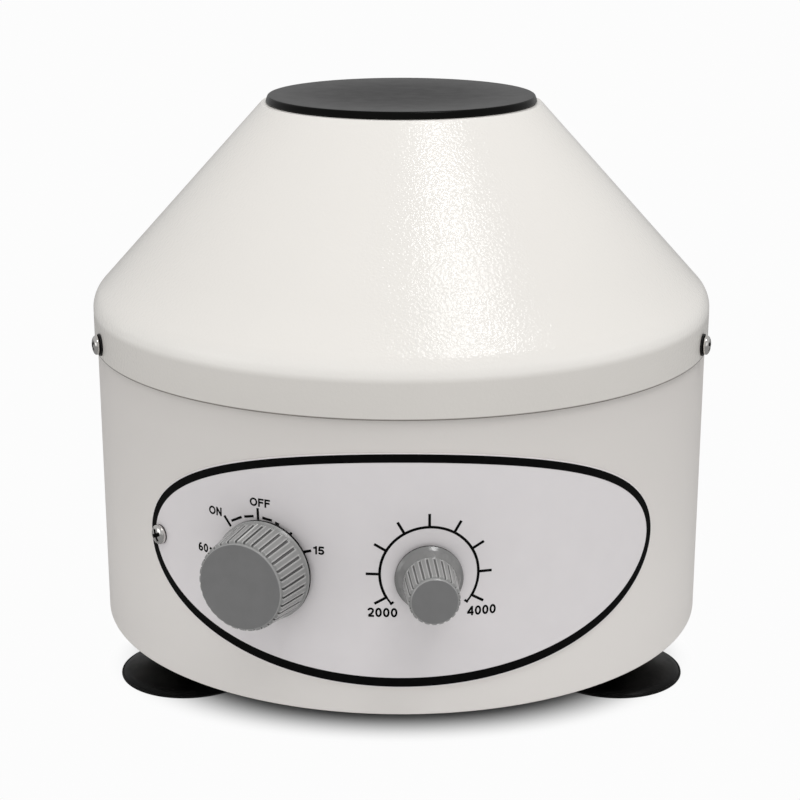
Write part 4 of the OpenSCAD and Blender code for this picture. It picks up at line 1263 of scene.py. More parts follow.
@dataclass
class Cover:
    """The conical cover with its skirt and the flat seat of the lid."""

    radius: float = 135.0
    sheet: float = 1.0
    skirt_low: float = 139.3
    corner: float = 160.2
    shoulder: float = 12.5
    shoulder_steps: int = 24
    top: float = 242.0
    top_radius: float = 60.4
    mouth_radius: float = 52.0
    edge_round: float = 0.4
    top_round: float = 0.6
    inner_round: float = 1.0

    def build(self) -> None:
        """Builds the cover's shell with a rounded shoulder and soft sheet edges."""
        lean = math.atan2(self.radius - self.top_radius, self.top - self.corner)
        inner = self.radius - self.sheet
        drop = self.sheet * math.tan(lean / 2)
        low = self.top - self.sheet
        inner_top = inner - (low - self.corner + drop) * math.tan(lean)
        profile = rounded(
            [
                (self.radius, self.skirt_low, self.edge_round),
                (self.radius, self.corner, self.shoulder),
                (self.top_radius, self.top, self.top_round),
                (self.mouth_radius, self.top, self.edge_round),
                (self.mouth_radius, low, self.edge_round),
                (inner_top, low, self.inner_round),
                (inner, self.corner - drop, self.shoulder - self.sheet),
                (inner, self.skirt_low, self.edge_round),
            ],
            steps=self.shoulder_steps,
        )
        piece("cover_shell", lathe("cover_shell", profile), Body.BASE, COVER_PAINT, ["cone_cover"])


@dataclass
class Drum:
    """The drum's wall with its turned-in edges."""

    radius: float = 133.8
    sheet: float = 1.2
    low: float = 17.0
    high: float = 152.0
    low_edge: float = 15.0
    high_edge: float = 121.2
    edge_round: float = 0.4
    low_round: float = 1.1
    high_round: float = 2.2
    inner_round: float = 1.0

    def build(self) -> None:
        """Builds the wall, rounded where the sheet is turned in."""
        inner = self.radius - self.sheet
        profile = rounded(
            [
                (self.radius - self.low_edge, self.low, self.edge_round),
                (self.radius, self.low, self.low_round),
                (self.radius, self.high, self.high_round),
                (self.high_edge, self.high, self.edge_round),
                (self.high_edge, self.high - self.sheet, self.edge_round),
                (inner, self.high - self.sheet, self.inner_round),
                (inner, self.low + self.sheet, self.inner_round),
                (self.radius - self.low_edge, self.low + self.sheet, self.edge_round),
            ],
            steps=8,
        )
        piece("drum_wall", lathe("drum_wall", profile), Body.BASE, DRUM_PAINT, ["drum_shell"])


@dataclass
class Lid:
    """The lift-off lid: a dished disc with a glossy rim and a ring that finds the mouth.

    Attributes:
        ring_rounds: the rounds at the root, the lower edges and the outer root of the ring.
        rim_rounds: the rounds of the rim below and above.
        dish_steps: the rings of faces on the dished top.
        dish_curve: how fast the dish falls near its border.
        top_level: how level a face of the top is at least.
        rim_shows: the width of the rim that shows inside the bevel.
    """

    radius: float = 58.5
    low: float = 242.2
    high: float = 245.2
    bevel: float = 1.0
    border: float = 2.0
    dish: float = 0.8
    ring_radius: float = 51.0
    ring_width: float = 3.0
    ring_depth: float = 7.0
    ring_rounds: tuple[float, float, float] = (0.8, 0.6, 0.5)
    rim_rounds: Span = (0.4, 1.1)
    dish_steps: int = 12
    dish_curve: float = 1.6
    top_level: float = 0.9
    rim_shows: float = 0.4

    def dished(self, reach: float) -> Line:
        """Returns the curve of the top, from its border to the middle.

        Args:
            reach: the radius of the border.

        Returns:
            Points (radius, height).
        """
        out = [(reach, self.high)]
        for k in range(1, self.dish_steps + 1):
            share = k / self.dish_steps
            fall = self.dish * (1 - (1 - share) ** self.dish_curve)
            out.append((reach * (1 - share), self.high - fall))
        return out

    def build(self) -> None:
        """Builds the lid, with one finish on its dished top and another on the rest."""
        ring = self.ring_radius - self.ring_width
        foot = self.low - self.ring_depth
        top = self.radius - self.bevel
        root, edge, outer_root = self.ring_rounds
        profile = rounded(
            [
                (0, self.low),
                (ring, self.low, root),
                (ring, foot, edge),
                (self.ring_radius, foot, edge),
                (self.ring_radius, self.low, outer_root),
                (self.radius, self.low, self.rim_rounds[0]),
                (top, self.high, self.rim_rounds[1]),
            ]
            + self.dished(top - self.border),
            steps=8,
        )
        mesh = lathe("lid_disc", profile, closed=False)
        for finish in (LID_RIM, LID_TOP):
            mesh.materials.append(finish.material())
        for face in mesh.polygons:
            within = math.hypot(face.center.x, face.center.y) < (top - self.rim_shows) * MM
            face.material_index = int(within and face.normal.z > self.top_level)
        piece("lid_disc", mesh, Body.LID, None, ["lid"])


@dataclass
class Feet:
    """The three suction feet.

    Attributes:
        flare_steps: the rings of faces on the flared outside.
        flare_inset: how far inside the rim the flare starts.
        hollow_steps: the rings of faces in the hollow underneath.
        hollow_curve: how fast the hollow rises near its rim.
        lip_round: the round of the lip.
        lip_draft: how far the lip leans in.
        lip_share: where its upper round lies, as a share of its height.
    """

    ring_radius: float = 107.0
    angles: tuple[float, ...] = (-60.0, 60.0, 180.0)
    nodes: tuple[str, ...] = ("foot_left", "foot_right", "foot_rear")
    rim: float = 30.0
    rim_width: float = 3.5
    neck: float = 10.5
    height: float = 18.2
    bell: float = 10.9
    hollow: float = 6.1
    lip: float = 1.8
    flare_steps: int = 24
    flare_inset: float = 0.5
    hollow_steps: int = 16
    hollow_curve: float = 1.8
    lip_round: float = 0.5
    lip_draft: float = 0.2
    lip_share: float = 0.8
    segments: int = 96

    def profile(self) -> Line:
        """Draws the outline of a foot, from the hollow's middle round the lip to the top.

        Returns:
            Points (radius, height).
        """
        inner = self.rim - self.rim_width
        hollow = []
        for t in range(self.hollow_steps, 0, -1):
            share = 1 - t / self.hollow_steps
            hollow.append((inner * share, self.hollow * (1 - share**self.hollow_curve)))
        lip = [
            (inner, 0.0),
            (self.rim, 0.0, self.lip_round),
            (self.rim - self.lip_draft, self.lip * self.lip_share, self.lip_round),
        ]
        wide, tall = self.rim - self.flare_inset - self.neck, self.bell - self.lip
        flare = []
        for t in range(1, self.flare_steps + 1):
            share = 1 - t / self.flare_steps
            flare.append((self.neck + wide * share**2, self.lip + tall * t / self.flare_steps))
        return hollow + rounded(lip) + flare + [(self.neck, self.height), (0.0, self.height)]

    def build(self) -> None:
        """Builds each foot as a flared cup with a hollow underneath."""
        profile = self.profile()
        for angle, node in zip(self.angles, self.nodes):
            out = Matrix.Translation((0, -self.ring_radius, 0))
            place = Matrix.Rotation(math.radians(angle), 4, "Z") @ out
            mesh = lathe(node + "_cup", profile, segments=self.segments, closed=False, place=place)
            piece(node + "_cup", mesh, Body.BASE, FOOT_RUBBER, [node])


@dataclass(frozen=True)
class ScrewRow:
    """Screws of one kind around the drum.

    Attributes:
        name: the piece's name.
        node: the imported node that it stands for.
        angles: the angle of each screw from the front.
        height: the height of their axes.
        seat: the distance of the heads' seats from the drum's axis.
        shank: the length of the shanks.
    """

    name: str
    node: str
    angles: tuple[float, ...]
    height: float
    seat: float
    shank: float


@dataclass
class Screws:
    """The pan-head screws that show: three in the skirt and one in the panel.

    Attributes:
        dome: the shares of the head's height under the dome and in it.
        edge: the head's lower edge, as shares of its radius and height.
        edge_shadow: the height up to which that edge is dark as painted shadow, as a share of the head's.
        refined: the height from which faces are made finer, as a share of the head's.
        refined_times: how often they are halved.
        cross: the length and half the width of the recess's arms, as shares of the head's radius.
        cross_wall: where the arms' walls start and how far they lean, in half widths.
        cross_depth: the depth of the recess, as a share of the head's height.
        cross_rise: how much of that depth is lost at an arm's end.
        recess_shade: how fast the recess turns dark, as painted shade, from its edge.
        shade_from: the mean of a face's marks above which it takes the dark painted shade.
    """

    head: float = 4.1
    head_height: float = 2.8
    shank: float = 2.0
    segments: int = 72
    dome: Span = (0.42, 0.58)
    dome_steps: int = 12
    edge: tuple[Span, ...] = ((0.98, 0.0), (0.98, 0.16), (0.985, 0.18), (1.0, 0.22))
    edge_shadow: float = 0.17
    refined: float = 0.55
    refined_times: int = 2
    cross: Span = (0.62, 0.13)
    cross_wall: Span = (0.8, 0.7)
    cross_depth: float = 0.5
    cross_rise: float = 0.75
    recess_shade: float = 4.0
    shade_from: float = 0.5
    sharp: float = 40.0
    seed: int = 7
    rows: tuple[ScrewRow, ...] = (
        ScrewRow("skirt_screws", "cover_screws", (-70.0, 70.0, 180.0), 145.65, 135.8, 7.2),
        ScrewRow("panel_fixing_screw", "panel_screw", (-46.89,), 77.9, 134.65, 7.0),
    )

    def turned(self, name: str, length: float) -> Mesh:
        """Turns one screw with a domed head; its seat is at z = 0.

        Args:
            name: the mesh's name.
            length: the length of its shank.

        Returns:
            The mesh.
        """
        h, r = self.head_height, self.head
        under, over = self.dome
        dome = []
        for k in range(self.dome_steps + 1):
            a = math.pi / 2 * (1 - k / self.dome_steps)
            dome.append((r * math.sin(a), h * under + h * over * math.cos(a)))
        dome[-1] = (0.0, h)
        edge = [(r * across, h * up) for across, up in self.edge]
        profile = [(0.0, -length), (self.shank, -length), (self.shank, 0.0)] + edge + dome
        return lathe(name, profile, segments=self.segments, closed=False)

    def head_mesh(self, name: str, length: float) -> Mesh:
        """Builds one screw with a cross recess, marked where it gets painted shade and shadow.

        Args:
            name: the mesh's name.
            length: the length of its shank.

        Returns:
            The mesh.
        """
        h = self.head_height
        work = bmesh.new()
        work.from_mesh(self.turned(name, length))
        for _ in range(self.refined_times):
            near = [f for f in work.faces if f.calc_center_median().z > h * self.refined * MM]
            edges = list(dict.fromkeys(e for f in near for e in f.edges))
            bmesh.ops.subdivide_edges(work, edges=edges, cuts=1, use_grid_fill=True)
        arm, wide = self.head * self.cross[0] * MM, self.head * self.cross[1] * MM
        wall, lean = wide * self.cross_wall[0], wide * self.cross_wall[1]
        depth = h * self.cross_depth * MM
        mark = work.verts.layers.float.new(SUNK)
        for v in work.verts:
            if v.co.z > depth:
                across = min(abs(v.co.x), abs(v.co.y))
                along = max(abs(v.co.x), abs(v.co.y))
                if along < arm:
                    sunk = 1 - min(1.0, max(0.0, (across - wall) / lean))
                    v.co.z -= sunk * depth * (1 - self.cross_rise * along / arm)
                    # Painted shade: the recess darker from its edge inwards
                    v[mark] = min(1.0, sunk * self.recess_shade)
            elif v.co.z < h * self.edge_shadow * MM:
                # Painted shadow under the head's edge
                v[mark] = 1.0
        bmesh.ops.triangulate(work, faces=work.faces)
        return from_bmesh(name, work, self.sharp)

    def dress(self, mesh: Mesh) -> None:
        """Gives the marked faces of a row of screws a dark finish: painted shade in the recess and painted
        shadow under the head.

        Args:
            mesh: the row's mesh.
        """
        mesh.materials.append(INK_AND_SHADE.material())
        marks = mesh.attributes[SUNK].data
        for face in mesh.polygons:
            mean = sum(marks[v].value for v in face.vertices) / len(face.vertices)
            face.material_index = int(mean > self.shade_from)

    def build(self) -> None:
        """Sets the screws around the drum."""
        tree = screw_sketch()
        for row in self.rows:
            pattern_name = row.name + "_pattern"
            pattern = bpy.data.objects.new(pattern_name, self.head_mesh(pattern_name, row.shank))
            bpy.context.scene.collection.objects.link(pattern)
            spots = bpy.data.meshes.new(row.name + "_spots")
            seats = [wrapped(Vector((0, 0, 0)), row.seat, a, row.height) * MM for a in row.angles]
            spots.from_pydata([tuple(seat) for seat in seats], [], [])
            mesh = tree.mesh(row.name, BRIGHT, {"Screw": pattern, "Seed": self.seed}, spots)
            bpy.data.objects.remove(pattern)
            piece(row.name, mesh, Body.BASE, BRIGHT, [row.node])
            self.dress(mesh)


def bend(x: float, y: float, rx: float, ry: float, start: float, end: float, steps: int = 20) -> Line:
    """Returns points on part of an ellipse, from one angle in degrees to another."""
    angles = [math.radians(start + (end - start) * k / steps) for k in range(steps + 1)]
    return [(x + rx * math.cos(a), y + ry * math.sin(a)) for a in angles]


@dataclass(frozen=True)
class Lettering:
    """Plain sans-serif capitals and figures, drawn as strokes in a box of height 1.

    Attributes:
        stroke: the width of a stroke.
        space: the gap between two letters.
    """

    stroke: float = 0.21
    space: float = 0.12

    def glyph(self, letter: str) -> tuple[float, list[Line]]:
        """Draws a letter.

        Args:
            letter: the letter or figure.

        Returns:
            Its width and its strokes as lines.
        """
        h = self.stroke / 2
        t = 1 - h
        neck = [(0.43, 0.37), (0.2, 0.22), (h + 0.02, h)]
        shapes = {
            "O": (1.0, [bend(0.5, 0.5, 0.5 - h, 0.5 - h, 90, 450, 40)]),
            "N": (0.8, [[(h, 0), (h, 1)], [(0.8 - h, 0), (0.8 - h, 1)], [(h, t), (0.8 - h, h)]]),
            "F": (0.72, [[(h, 0), (h, 1)], [(h, t), (0.72, t)], [(h, 0.53), (0.66, 0.53)]]),
            "0": (0.70, [bend(0.35, 0.5, 0.35 - h, 0.5 - h, 90, 450, 40)]),
            "1": (0.42, [[(0.42 - h, 0), (0.42 - h, 1)], [(0.42 - h, 0.9), (0.24, 0.79), (0.0, 0.76)]]),
            "2": (
                0.70,
                [
                    bend(0.35, 0.69, 0.35 - h, 0.31 - h, 178, -25) + neck,
                    [(h, h), (0.70, h)],
                ],
            ),
            "4": (0.74, [[(0.56, 0), (0.56, 1)], [(0.56, 0.95), (h, 0.32)], [(0.02, 0.3), (0.74, 0.3)]]),
            "5": (
                0.70,
                [
                    [(0.66, t), (0.10, t)],
                    [(0.17, t), (0.11, 0.42)],
                    bend(0.33, 0.33, 0.37 - h, 0.33 - h, 128, -158),
                ],
            ),
            "6": (
                0.70,
                [
                    bend(0.35, 0.32, 0.35 - h, 0.32 - h, 90, 450, 32),
                    bend(0.37, 0.45, 0.37 - h, 0.55 - h, 196, 66),
                ],
            ),
        }
        return shapes[letter]

    def lines(self, word: str) -> tuple[float, list[Line]]:
        """Draws a word from its left end.

        Args:
            word: the text.

        Returns:
            Its width and all its strokes.
        """
        out: list[Line] = []
        reach = 0.0
        for letter in word:
            wide, strokes = self.glyph(letter)
            out += [[(x + reach, y) for x, y in line] for line in strokes]
            reach += wide + self.space
        return reach - self.space, out

    @staticmethod
    def is_loop(line: Line) -> bool:
        """Tells whether a stroke ends where it starts."""
        return math.dist(line[0], line[-1]) < NEXT_TO_NOTHING

    def edges(self, line: Line) -> list[tuple[Vector, Vector]]:
        """Finds the two edges of a stroke.

        Args:
            line: the points of its middle line.

        Returns:
            The points of both edges along the line.
        """
        out = []
        for i, point in enumerate(line):
            spot = Vector(point)
            before = spot - Vector(line[max(i - 1, 0)])
            after = Vector(line[min(i + 1, len(line) - 1)]) - spot
            if self.is_loop(line):
                before = spot - Vector(line[i - 1 if i else -2])
                after = Vector(line[i + 1 if i + 1 < len(line) else 1]) - spot
            along = (before.normalized() + after.normalized()).normalized()
            side = Vector((-along.y, along.x)) * (self.stroke / 2)
            out.append((spot + side, spot - side))
        return out


@dataclass(frozen=True)
class Word:
    """A printed word.

    Attributes:
        text: its letters.
        azimuth: the angle of its middle from the front.
        height: the height of its middle.
        wide: its width.
        tall: the height of its letters.
    """

    text: str
    azimuth: float
    height: float
    wide: float
    tall: float


@dataclass(frozen=True)
class Strokes:
    """Printed strokes around a dial, with angles from its top.

    Attributes:
        start: the angle of the first one.
        radius: the distance of their middles from the dial's.
        length: their size outwards.
        width: their size around the dial.
        count: how many there are.
        step: the angle from one to the next.
        lean: the angle by which each is turned on its spot.
        taper: the share of the width that each one loses to the one before it.
    """

    start: float
    radius: float
    length: float = 1.0
    width: float = INK_LINE
    count: int = 1
    step: float = 0.0
    lean: float = 0.0
    taper: float = 0.0


@dataclass(frozen=True)
class Arc:
    """A printed arc around a dial, with angles from its right side.

    Attributes:
        start: the angle of its first end.
        sweep: the angle that it covers.
        radius: its radius.
        width: the width of its line.
    """

    start: float
    sweep: float
    radius: float
    width: float = INK_LINE


@dataclass(frozen=True)
class Dial:
    """A printed dial: its middle on the panel, its marks and the words around it.

    Attributes:
        name: the dial's name.
        azimuth: the angle of its middle from the front.
        height: the height of its middle.
        marks: its strokes and arcs.
        words: its words.
    """

    name: str
    azimuth: float
    height: float
    marks: tuple[Strokes | Arc, ...]
    words: tuple[Word, ...]


TIMER_DIAL = Dial(
    "timer",
    azimuth=-24.26,
    height=73.2,
    marks=(
        Strokes(-1.7, 24.4, length=4.9),
        Strokes(-37.8, 24.2, length=5.0),
        Strokes(59.5, 22.6, length=4.4, lean=16),
        Strokes(-76.5, 23.3, length=3.2),
        Strokes(-26.9, 23.3, width=5.4, count=2, step=15.1, taper=0.2),
        Strokes(8.2, 23.1, width=4.2),
        Strokes(19.4, 22.85, length=0.95, width=1.8),
        Strokes(36.3, 22.3, length=1.7, width=0.9),
    ),
    words=(
        Word("OFF", -24.15, 102.4, wide=8.9, tall=3.45),
        Word("ON", -33.1, 95.5, wide=6.3, tall=3.5),
        Word("60", -36.0, 78.6, wide=5.0, tall=3.6),
        Word("15", -13.75, 85.6, wide=4.4, tall=3.4),
    ),
)
SPEED_DIAL = Dial(
    "speed",
    azimuth=4.62,
    height=77.2,
    marks=(
        Arc(-31, 242, 19.3),
        Strokes(-120, 21.9, length=5.6, count=9, step=30),
        Arc(-40, 260, 19.2, width=0.75),
        Strokes(-129.6, 18.9, length=1.7, width=0.9, count=2, step=259.2),
    ),
    words=(
        Word("2000", -3.15, 61.2, wide=11.7, tall=3.9),
        Word("4000", 13.45, 60.9, wide=11.7, tall=3.9),
    ),
)


@dataclass
class FrontPanel:
    """The oval panel: its black border, the two printed dials and their words.

    Attributes:
        radius: the radius of the panel's outside.
        length: its length around the drum.
        tall: its height.
        middle: the height of its middle.
        edge: the bare metal outside the border.
        border_width: the border's width.
        border_less: how much narrower it is at the panel's ends.
        border_more: how much wider it is along the lower edge.
        ink: the height of the print.
        layer: how much higher each further stroke of a word is.
    """

    radius: float = 134.65
    length: float = 233.0
    tall: float = 97.0
    middle: float = 77.9
    edge: float = 0.3
    border_width: float = 3.4
    border_less: float = 0.5
    border_more: float = 0.4
    border_steps: int = 480
    ink: float = 0.06
    layer: float = 0.002
    dials: tuple[Dial, ...] = (TIMER_DIAL, SPEED_DIAL)

    angle_inputs: ClassVar[tuple[str, ...]] = ("Start", "Step", "Sweep", "Lean")
    plain_inputs: ClassVar[tuple[str, ...]] = ("Count", "Taper")

    def border(self) -> None:
        """Builds the black line just inside the panel's edge."""
        lifts = (INK_ROOT, self.ink, self.ink, INK_ROOT)
        count = self.border_steps
        loops: list[list[Vector]] = [[], [], [], []]
        for i in range(count):
            a = 2 * math.pi * i / count
            spot = Vector((self.length / 2 * math.cos(a), self.tall / 2 * math.sin(a)))
            inward = -Vector((math.cos(a) * self.tall, math.sin(a) * self.length)).normalized()
            wide = self.border_width - self.border_less * abs(inward.x)
            wide += self.border_more * max(0.0, inward.y)
            outer, inner = spot + inward * self.edge, spot + inward * (self.edge + wide)
            for loop, at, lift in zip(loops, (outer, outer, inner, inner), lifts):
                loop.append(wrapped(Vector((at.x, at.y, lift)), self.radius, 0.0, self.middle) * MM)
        work = bmesh.new()
        rows = [[work.verts.new(v) for v in loop] for loop in loops]
        for a, b in zip(rows, rows[1:] + rows[:1]):
            for i in range(count):
                j = (i + 1) % count
                work.faces.new((a[i], a[j], b[j], b[i]))
        piece("panel_border", from_bmesh("panel_border", work), Body.BASE, INK_AND_SHADE)

    def on_dial(self, dial: Dial, mark: Strokes | Arc) -> dict[str, Any]:
        """Turns the sizes of a mark into a tree's inputs, in metres and radians.

        Args:
            dial: the dial that carries it.
            mark: the mark.

        Returns:
            Values by the inputs' names.
        """
        out: dict[str, Any] = {
            "Drum Radius": self.radius * MM,
            "Azimuth": math.radians(dial.azimuth),
            "Height": dial.height * MM,
            "Thickness": self.ink * MM,
        }
        for key, value in asdict(mark).items():
            name = key.capitalize()
            if name in self.angle_inputs:
                out[name] = math.radians(value)
            else:
                out[name] = value if name in self.plain_inputs else value * MM
        return out

    def scale(self, dial: Dial, ticks: Sketch, arcs: Sketch) -> None:
        """Prints the arcs, ticks and dashes of a dial.

        Args:
            dial: the dial.
            ticks: the tree that prints strokes.
            arcs: the tree that prints arcs.
        """
        name = dial.name + "_scale"
        joined = bmesh.new()
        for mark in dial.marks:
            tree = arcs if isinstance(mark, Arc) else ticks
            mesh = tree.mesh(name, INK_AND_SHADE, self.on_dial(dial, mark))
            joined.from_mesh(mesh)
            bpy.data.meshes.remove(mesh)
        piece(name, from_bmesh(name, joined), Body.BASE, INK_AND_SHADE)

    def stroke(self, work: bmesh.types.BMesh, word: Word, edges: list[Line], lift: float, loop: bool) -> None:
        """Adds one stroke of a word as a thin band on the panel.

        Args:
            work: the bmesh that takes it.
            word: the word.
            edges: the stroke's two edges, in shares of the word's width and height.
            lift: the height of the band's top.
            loop: whether the stroke ends where it starts.
        """
        rows = []
        for pair in edges:
            ends = []
            for across, up in pair:
                x, y = (across - 0.5) * word.wide, (up - 0.5) * word.tall
                for out in (lift, INK_ROOT):
                    at = wrapped(Vector((x, y, out)), self.radius, word.azimuth, word.height)
                    ends.append(work.verts.new(at * MM))
            rows.append((ends[0], ends[2], ends[3], ends[1]))
        for a, b in zip(rows, rows[1:]):
            for i in range(len(a)):
                j = (i + 1) % len(a)
                work.faces.new((a[i], a[j], b[j], b[i]))
        if not loop:
            work.faces.new(rows[0])
            work.faces.new(rows[-1])

    def words(self, dial: Dial) -> None:
        """Prints the words of a dial on the panel.

        Args:
            dial: the dial.
        """
        letters = Lettering()
        work = bmesh.new()
        for word in dial.words:
            width, lines = letters.lines(word.text)
            for number, line in enumerate(lines):
                edges = [[(p.x / width, p.y) for p in pair] for pair in letters.edges(line)]
                self.stroke(work, word, edges, self.ink + self.layer * number, letters.is_loop(line))
        piece(dial.name + "_words", from_bmesh(dial.name + "_words", work), Body.BASE, INK_AND_SHADE)

    def build(self) -> None:
        """Prints everything on the panel."""
        self.border()
        ticks, arcs = tick_sketch(), arc_sketch()
        for dial in self.dials:
            self.scale(dial, ticks, arcs)
        for dial in self.dials:
            self.words(dial)


class KnobZone(Enum):
    """The zones of a knob, each with the number of its material."""

    GRIP = 0
    EDGE = 1
    FACE = 2
    ROOT = 3
    COLLAR = 4


# Paler and darker copies of the knob's grey paint a highlight on edges and shade on the face and collar; ink
# paints the shadow at the rear
ZONE_FINISHES: dict[KnobZone, Finish] = {
    KnobZone.EDGE: KNOB_EDGE_HIGHLIGHT,
    KnobZone.FACE: KNOB_FACE_SHADED,
    KnobZone.ROOT: INK_AND_SHADE,
    KnobZone.COLLAR: KNOB_COLLAR_SHADED,
}


@dataclass
class Knob:
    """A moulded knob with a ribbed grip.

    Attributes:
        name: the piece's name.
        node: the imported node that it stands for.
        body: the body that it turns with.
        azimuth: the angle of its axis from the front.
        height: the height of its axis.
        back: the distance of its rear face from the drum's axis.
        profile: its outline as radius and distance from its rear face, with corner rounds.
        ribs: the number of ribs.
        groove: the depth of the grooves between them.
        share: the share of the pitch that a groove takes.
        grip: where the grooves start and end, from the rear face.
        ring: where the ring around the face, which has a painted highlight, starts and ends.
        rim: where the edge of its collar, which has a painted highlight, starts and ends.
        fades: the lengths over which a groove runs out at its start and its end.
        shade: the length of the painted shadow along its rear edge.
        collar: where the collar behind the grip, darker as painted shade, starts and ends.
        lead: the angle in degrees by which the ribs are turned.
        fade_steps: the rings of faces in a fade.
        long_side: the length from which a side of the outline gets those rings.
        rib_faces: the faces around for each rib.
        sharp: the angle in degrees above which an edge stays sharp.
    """

    name: str
    node: str
    body: Body
    azimuth: float
    height: float
    back: float
    profile: tuple[Point, ...]
    ribs: int
    groove: float
    share: float
    grip: Span
    ring: Span
    rim: Span = (1.1, 2.1)
    fades: Span = (0.9, 0.3)
    shade: float = 1.0
    collar: Span = (0.0, 0.0)
    lead: float = 0.0

    fade_steps: ClassVar[int] = 5
    long_side: ClassVar[float] = 0.2
    rib_faces: ClassVar[int] = 20
    sharp: ClassVar[float] = 50.0

    def outline(self) -> Line:
        """Draws the rounded outline, with extra points where the grooves fade.

        Returns:
            Points (radius, distance from the rear face).
        """
        out: Line = []
        rings = [self.grip[0] + self.fades[0] * k / self.fade_steps for k in range(self.fade_steps + 1)]
        rings += [self.grip[1] - self.fades[1] * k / self.fade_steps for k in range(self.fade_steps + 1)]
        corners = rounded(self.profile, steps=8)
        for (r0, z0), (r1, z1) in zip(corners, corners[1:]):
            cuts = [0.0]
            if z1 - z0 > self.long_side:
                cuts += sorted((z - z0) / (z1 - z0) for z in rings if z0 < z < z1)
            out += [(r0 + (r1 - r0) * k, z0 + (z1 - z0) * k) for k in cuts]
        out.append(corners[-1])
        return out

    def zone(self, along: float) -> KnobZone:
        """Tells which zone a face is in.

        Args:
            along: the distance of its middle from the rear face.

        Returns:
            The zone.
        """
        if self.ring[0] < along < self.ring[1] or self.rim[0] < along < self.rim[1]:
            return KnobZone.EDGE
        if along >= self.ring[1]:
            return KnobZone.FACE
        if along < self.shade:
            return KnobZone.ROOT
        return KnobZone.COLLAR if self.collar[0] < along < self.collar[1] else KnobZone.GRIP

    def dress(self, mesh: Mesh) -> None:
        """Gives each zone of the knob its finish, with painted highlight, shade and shadow on some zones.

        Args:
            mesh: the knob's mesh, before it is put on its axis.
        """
        for finish in ZONE_FINISHES.values():
            mesh.materials.append(finish.material())
        for face in mesh.polygons:
            face.material_index = self.zone(face.center.z / MM).value

    def build(self, tree: Sketch) -> None:
        """Turns the knob, presses its grooves and puts it on its axis.

        Args:
            tree: the tree that presses the grooves.
        """
        around = self.ribs * self.rib_faces
        turned = lathe(self.name + "_turned", self.outline(), segments=around, closed=False)
        sizes = {
            "Ribs": float(self.ribs),
            "Groove Depth": self.groove * MM,
            "Groove Share": self.share,
            "Grip Start": self.grip[0] * MM,
            "Grip End": self.grip[1] * MM,
            "Start Fade": self.fades[0] * MM,
            "End Fade": self.fades[1] * MM,
        }
        mesh = tree.mesh(self.name, KNOB_GREY, sizes, turned)
        self.dress(mesh)
        place = outwards(self.azimuth, self.height, self.back)
        place = place @ Matrix.Rotation(math.radians(self.lead), 4, "Z")
        place.translation *= MM
        mesh.transform(place)
        piece(self.name, smooth(mesh, self.sharp), self.body, None, [self.node])


TIMER_KNOB = Knob(
    name="timer_grip",
    node="timer_knob",
    body=Body.TIMER,
    azimuth=-23.4,
    height=75.2,
    back=135.65,
    profile=(
        (9.7, 6.0),
        (9.7, 0.0, 0.3),
        (20.5, 0.0, 0.4),
        (20.5, 1.7, 0.5),
        (19.85, 2.6, 0.3),
        (18.4, 18.85, 0.3),
        (17.5, 19.3, 0.12),
        (17.45, 19.85, 0.2),
        (17.1, 20.15, 0.15),
        (0.0, 20.2),
    ),
    ribs=32,
    groove=0.65,
    share=0.24,
    grip=(2.6, 19.28),
    ring=(19.35, 20.12),
    lead=5.625,
)
SPEED_KNOB = Knob(
    name="speed_grip",
    node="speed_knob",
    body=Body.SPEED,
    azimuth=4.5,
    height=76.0,
    back=135.65,
    profile=(
        (9.7, 6.0),
        (9.7, 0.0, 0.3),
        (13.4, 0.0, 0.4),
        (13.4, 1.0, 0.3),
        (12.2, 2.2, 0.3),
        (10.4, 5.8, 0.8),
        (9.9, 23.0, 0.3),
        (9.15, 23.4, 0.12),
        (9.1, 24.0, 0.2),
        (8.75, 24.35, 0.15),
        (0.0, 24.4),
    ),
    ribs=22,
    groove=0.42,
    share=0.27,
    grip=(5.2, 23.38),
    ring=(23.45, 24.3),
    rim=(0.0, 0.0),
    collar=(1.0, 5.6),
)


@dataclass
class TimerPointer:
    """The light line along the timer knob that points at the scale.

    Attributes:
        azimuth: the angle of the knob's axis from the front.
        height: the height of that axis.
        back: the distance of the knob's rear face from the drum's axis.
        radius: the knob's radius at the line's start.
        front: the knob's radius at the line's end.
        start: where the line starts, from the rear face.
        end: where it ends.
        width: its width.
        depth: its depth, most of it in the grip.
        proud: how far it stands out of the grip.
        bevel: the bevel of its edges.
        turn: its angle from the top.
    """

    azimuth: float = TIMER_KNOB.azimuth
    height: float = TIMER_KNOB.height
    back: float = TIMER_KNOB.back
    radius: float = 19.85
    front: float = 18.45
    start: float = 3.0
    end: float = 18.9
    width: float = 0.6
    depth: float = 1.0
    proud: float = 0.2
    bevel: float = 0.18
    turn: float = -2.0

    def build(self) -> None:
        """Builds the line as a slim rounded bar on the grip."""
        work = bmesh.new()
        bmesh.ops.create_cube(work, size=1.0)
        sizes = Matrix.Diagonal((self.width, self.depth, self.end - self.start, 1.0))
        bmesh.ops.transform(work, matrix=sizes, verts=work.verts)
        bmesh.ops.bevel(work, geom=work.edges[:], offset=self.bevel, segments=3, profile=0.5, affect="EDGES")
        reach = (self.radius + self.front) / 2 + self.proud - self.depth / 2
        spot = Matrix.Translation((0, reach, (self.start + self.end) / 2))
        draft = Matrix.Rotation(math.atan2(self.radius - self.front, self.end - self.start), 4, "X")
        turn = Matrix.Rotation(math.radians(-self.turn), 4, "Z")
        place = outwards(self.azimuth, self.height, self.back) @ turn @ spot @ draft
        bmesh.ops.transform(work, matrix=Matrix.Scale(MM, 4) @ place, verts=work.verts)
        piece("timer_pointer", from_bmesh("timer_pointer", work), Body.TIMER, POINTER)


